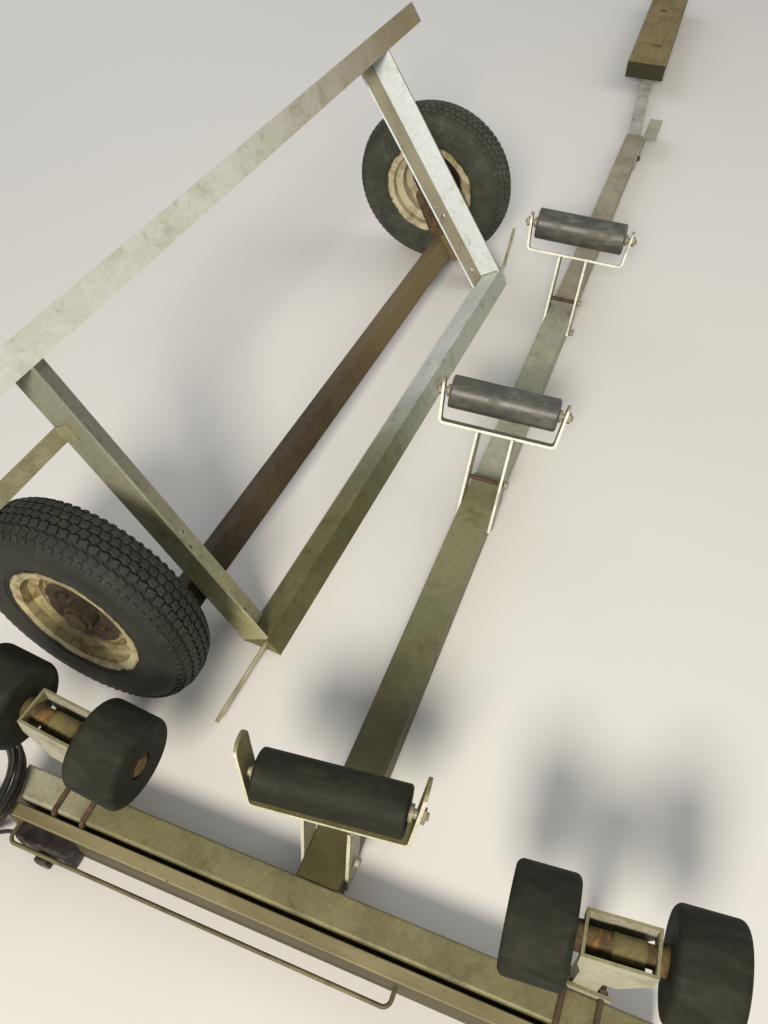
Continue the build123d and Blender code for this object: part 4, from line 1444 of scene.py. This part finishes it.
@dataclass
class Welds:
    """Arc weld beads, each a row of overlapping ripples along a joint."""

    bench: Bench
    base: Spot
    pitch: float = 2.6
    base_radius: float = 3.4
    bracket_radius: float = 3.2
    leg_up: float = 735.0
    angle_thickness: float = 7.0
    flange_starts: float = 9.0
    flat_ends: float = 72.0
    flange_ends: float = 66.0
    bracket_half: float = 21.0
    below_edge: float = 1.0
    smooth_angle: float = 60.0

    def bead(self, start: Vector, end: Vector, radius: float) -> Piece:
        """Lay one bead.

        Args:
            start: where it starts.
            end: where it ends.
            radius: the radius of its ripples.

        Returns:
            The bead.
        """
        Bench.clear()
        run = end - start
        bpy.ops.mesh.primitive_uv_sphere_add(segments=8, ring_count=6, radius=radius * MM)
        ripple = bpy.context.object
        ripple.scale = (0.85, 1.0, 1.0)
        bpy.ops.object.transform_apply(scale=True)
        repeat = ripple.modifiers.new("ripples", "ARRAY")
        repeat.count = max(3, round(run.length / (self.pitch * MM)))
        repeat.use_relative_offset = False
        repeat.use_constant_offset = True
        repeat.constant_offset_displace = (run.length / (repeat.count - 1), 0, 0)
        bpy.ops.object.modifier_apply(modifier="ripples")
        ripple.matrix_world = Matrix.Translation(start) @ run.to_track_quat("X", "Z").to_matrix().to_4x4()
        bpy.ops.object.transform_apply(location=True, rotation=True)
        return ripple

    def build(self) -> None:
        """Lay the beads of the road base, from its near lower corner, and of the keel brackets."""
        bench, base = self.bench, self.base
        wall, flange = self.angle_thickness, self.flange_starts
        beads = []
        for x, inward in ((0, 1), (BASE_LENGTH, -1)):
            for inner in (self.below_edge, self.leg_up - self.below_edge):
                lines = (((flange, wall), (self.flat_ends, wall)), ((wall, flange), (wall, self.flange_ends)))
                for (start, low), (end, high) in lines:
                    first, last = base.at(x + inward * start, inner, low), base.at(x + inward * end, inner, high)
                    beads.append(self.bead(first, last, self.base_radius))
        bench.hand_over(bench.join(beads), "base_welds", Slot.GALVANISED, "trailer", self.smooth_angle)
        for plan in BRACKETS:
            legs, up, half = plan.legs(), plan.leg - self.below_edge, self.bracket_half
            beads = []
            for hand in (-1, 1):
                side = hand * (plan.tube_half + wall)
                beads.append(self.bead(legs.at(side, up, -half), legs.at(side, up, half), self.bracket_radius))
            name = f"bracket_welds_{plan.name}"
            bench.hand_over(bench.join(beads), name, Slot.GALVANISED, "trailer", self.smooth_angle)


@dataclass
class BilgeSleeves:
    """The greasy yellow-green sleeve on each bilge axle, inside its cradle."""

    bench: Bench
    radius: float = 18.7
    bore: float = 17.0
    ends: tuple[float, float] = (-37.0, 12.0)
    cradle: Axis = (56, 485, 275)
    tilt: float = 4.0
    toe: float = 4.0
    rolled_edge: tuple = ((-0.6, 0), (0.0, 1), (1.2, 3), (0.0, 5))
    steps: int = 40

    def build(self) -> None:
        """Spin one sleeve on each tilted axle, with a rolled edge at both ends."""
        tilt, toe = math.radians(self.tilt), math.radians(self.toe)
        x, y, z = self.cradle
        first, last = self.ends
        near_edge = [(self.radius + rise, first + inward) for rise, inward in self.rolled_edge]
        far_edge = [(self.radius + rise, last - inward) for rise, inward in reversed(self.rolled_edge)]
        profile = [(self.bore, first), *near_edge, *far_edge, (self.bore, last)]
        for hand, name in ((1, "left"), (-1, "right")):
            outward = (math.sin(toe) * math.cos(tilt), hand * math.cos(toe) * math.cos(tilt), math.sin(tilt))
            axle = Vector(outward) * hand
            centre = ORIGIN + Vector((x, hand * y, z)) * MM
            out = axle.cross(FORWARD).normalized()
            points = [centre + (out * r + axle * along) * MM for r, along in profile]
            sleeve = Bench.rounds(points, centre, axle, self.steps)
            self.bench.hand_over(sleeve, f"bilge_sleeve_{name}", Slot.RUSTY, f"{name}_bilge_rollers")


class Trailer:
    """The trailer's new pieces, built from the places that the part gives."""

    def __init__(self) -> None:
        """Take the places of the tipped road base and of the wheels."""
        self.base = Spot(BASE_CORNER, BASE_RAIL, BASE_LEG)
        self.wheels: dict[str, Spot] = {}
        for end, hand in (("near", -1), ("far", 1)):
            low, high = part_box(f"tyre_{end}")
            middle = (Vector(low) + Vector(high)) / 2
            self.wheels[end] = Spot(middle, UP.cross(BASE_RAIL * hand), UP)

    def build(self, bench: Bench, plug: Piece) -> None:
        """Build every new piece.

        Args:
            bench: the modelling bench.
            plug: the plug on the lighting cable's end.
        """
        LightingCable(bench, plug).build()
        for end, wheel in self.wheels.items():
            TreadTyre(bench, end, wheel.origin, BASE_RAIL).build()
        Bolts(bench, self.wheels).build()
        BilgeSleeves(bench).build()
        Welds(bench, self.base).build()


@dataclass(frozen=True)
class Lamp:
    """One soft round lamp of the studio: its place, size, strength, colour and the width of its beam."""

    name: str
    place: Axis
    size: float
    power: float
    colour: str
    beam: float = 180.0


@dataclass
class Studio:
    """Pale floor, soft light and the camera at the photograph's place."""

    eye: Axis = (-2.795491, -0.377031, 1.624)
    right: Axis = (0.36376, -0.93149, 0.00372)
    up: Axis = (0.70107, 0.27640, 0.65735)
    back: Axis = (-0.61333, -0.23651, 0.75358)
    lens_mm: float = 29.88
    sensor_mm: float = 36.0
    floor_half: float = 30.0
    lit_point: Axis = (-0.6, 0.1, 0.2)
    sky: str = "E6E8EA"
    sky_strength: float = 0.5
    lamps: tuple[Lamp, ...] = (
        # The key's beam is kept on the trailer, off the floor below the lamp
        Lamp("key", (-6.4, -0.6, 3.7), 1.6, 165.0, "FFF6E8", 110.0),
        Lamp("fill", (1.5, -3.5, 4.0), 5.0, 90.0, "FFF6E8"),
        Lamp("rear", (2.0, 4.0, 3.5), 5.0, 90.0, "F4F6FF"),
    )

    def build(self) -> None:
        """Build the floor, the lights and the camera."""
        self.floor()
        self.lights()
        self.camera()

    def floor(self) -> None:
        """Lay the floor, which isn't part of the trailer."""
        bpy.ops.object.select_all(action="DESELECT")
        bpy.ops.mesh.primitive_plane_add(size=2 * self.floor_half, location=(0, 0, 0))
        floor = bpy.context.object
        floor.name = "studio_floor"
        floor.data.materials.append(PaleFloor("pale_floor").build())

    def lights(self) -> None:
        """Hang the soft lamps and set a low even world light."""
        for plan in self.lamps:
            bpy.ops.object.light_add(type="AREA", location=plan.place)
            lamp = bpy.context.object
            lamp.name = f"lamp_{plan.name}"
            lamp.data.shape = "DISK"
            lamp.data.size = plan.size
            lamp.data.energy = plan.power
            lamp.data.color = linear(plan.colour)[:3]
            lamp.data.spread = math.radians(plan.beam)
            aim = Vector(self.lit_point) - Vector(plan.place)
            lamp.rotation_euler = aim.to_track_quat("-Z", "Y").to_euler()
        world = bpy.data.worlds.new("studio_world")
        world.use_nodes = True
        background = world.node_tree.nodes["Background"]
        background.inputs[0].default_value = linear(self.sky)
        background.inputs[1].default_value = self.sky_strength
        bpy.context.scene.world = world
        bpy.context.scene.view_settings.view_transform = "Standard"

    def camera(self) -> None:
        """Stand the camera where the photograph was taken."""
        bpy.ops.object.camera_add()
        camera = bpy.context.object
        camera.name = "photo_camera"
        columns = Matrix((self.right, self.up, self.back)).transposed()
        camera.matrix_world = Matrix.Translation(self.eye) @ columns.to_4x4()
        camera.data.sensor_width = self.sensor_mm
        camera.data.lens = self.lens_mm
        bpy.context.scene.camera = camera


def main() -> None:
    """Build the trailer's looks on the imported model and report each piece."""
    logging.basicConfig(level=logging.INFO, format="%(name)s: %(message)s")
    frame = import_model()
    trailer = Trailer()
    paint = Paint(trailer.wheels)
    slots = {entry["node"]: Slot(entry["material_slot"]) for entry in frame["record"]["subparts"]}
    Studio().build()
    for node, piece in frame["nodes"].items():
        paint.dress(piece, slots[node])
    bench = Bench(paint)
    trailer.build(bench, frame["nodes"]["cable_plug"])
    for name in bench.made:
        LOG.info("built %s", name)


if __name__ == "__main__":
    main()
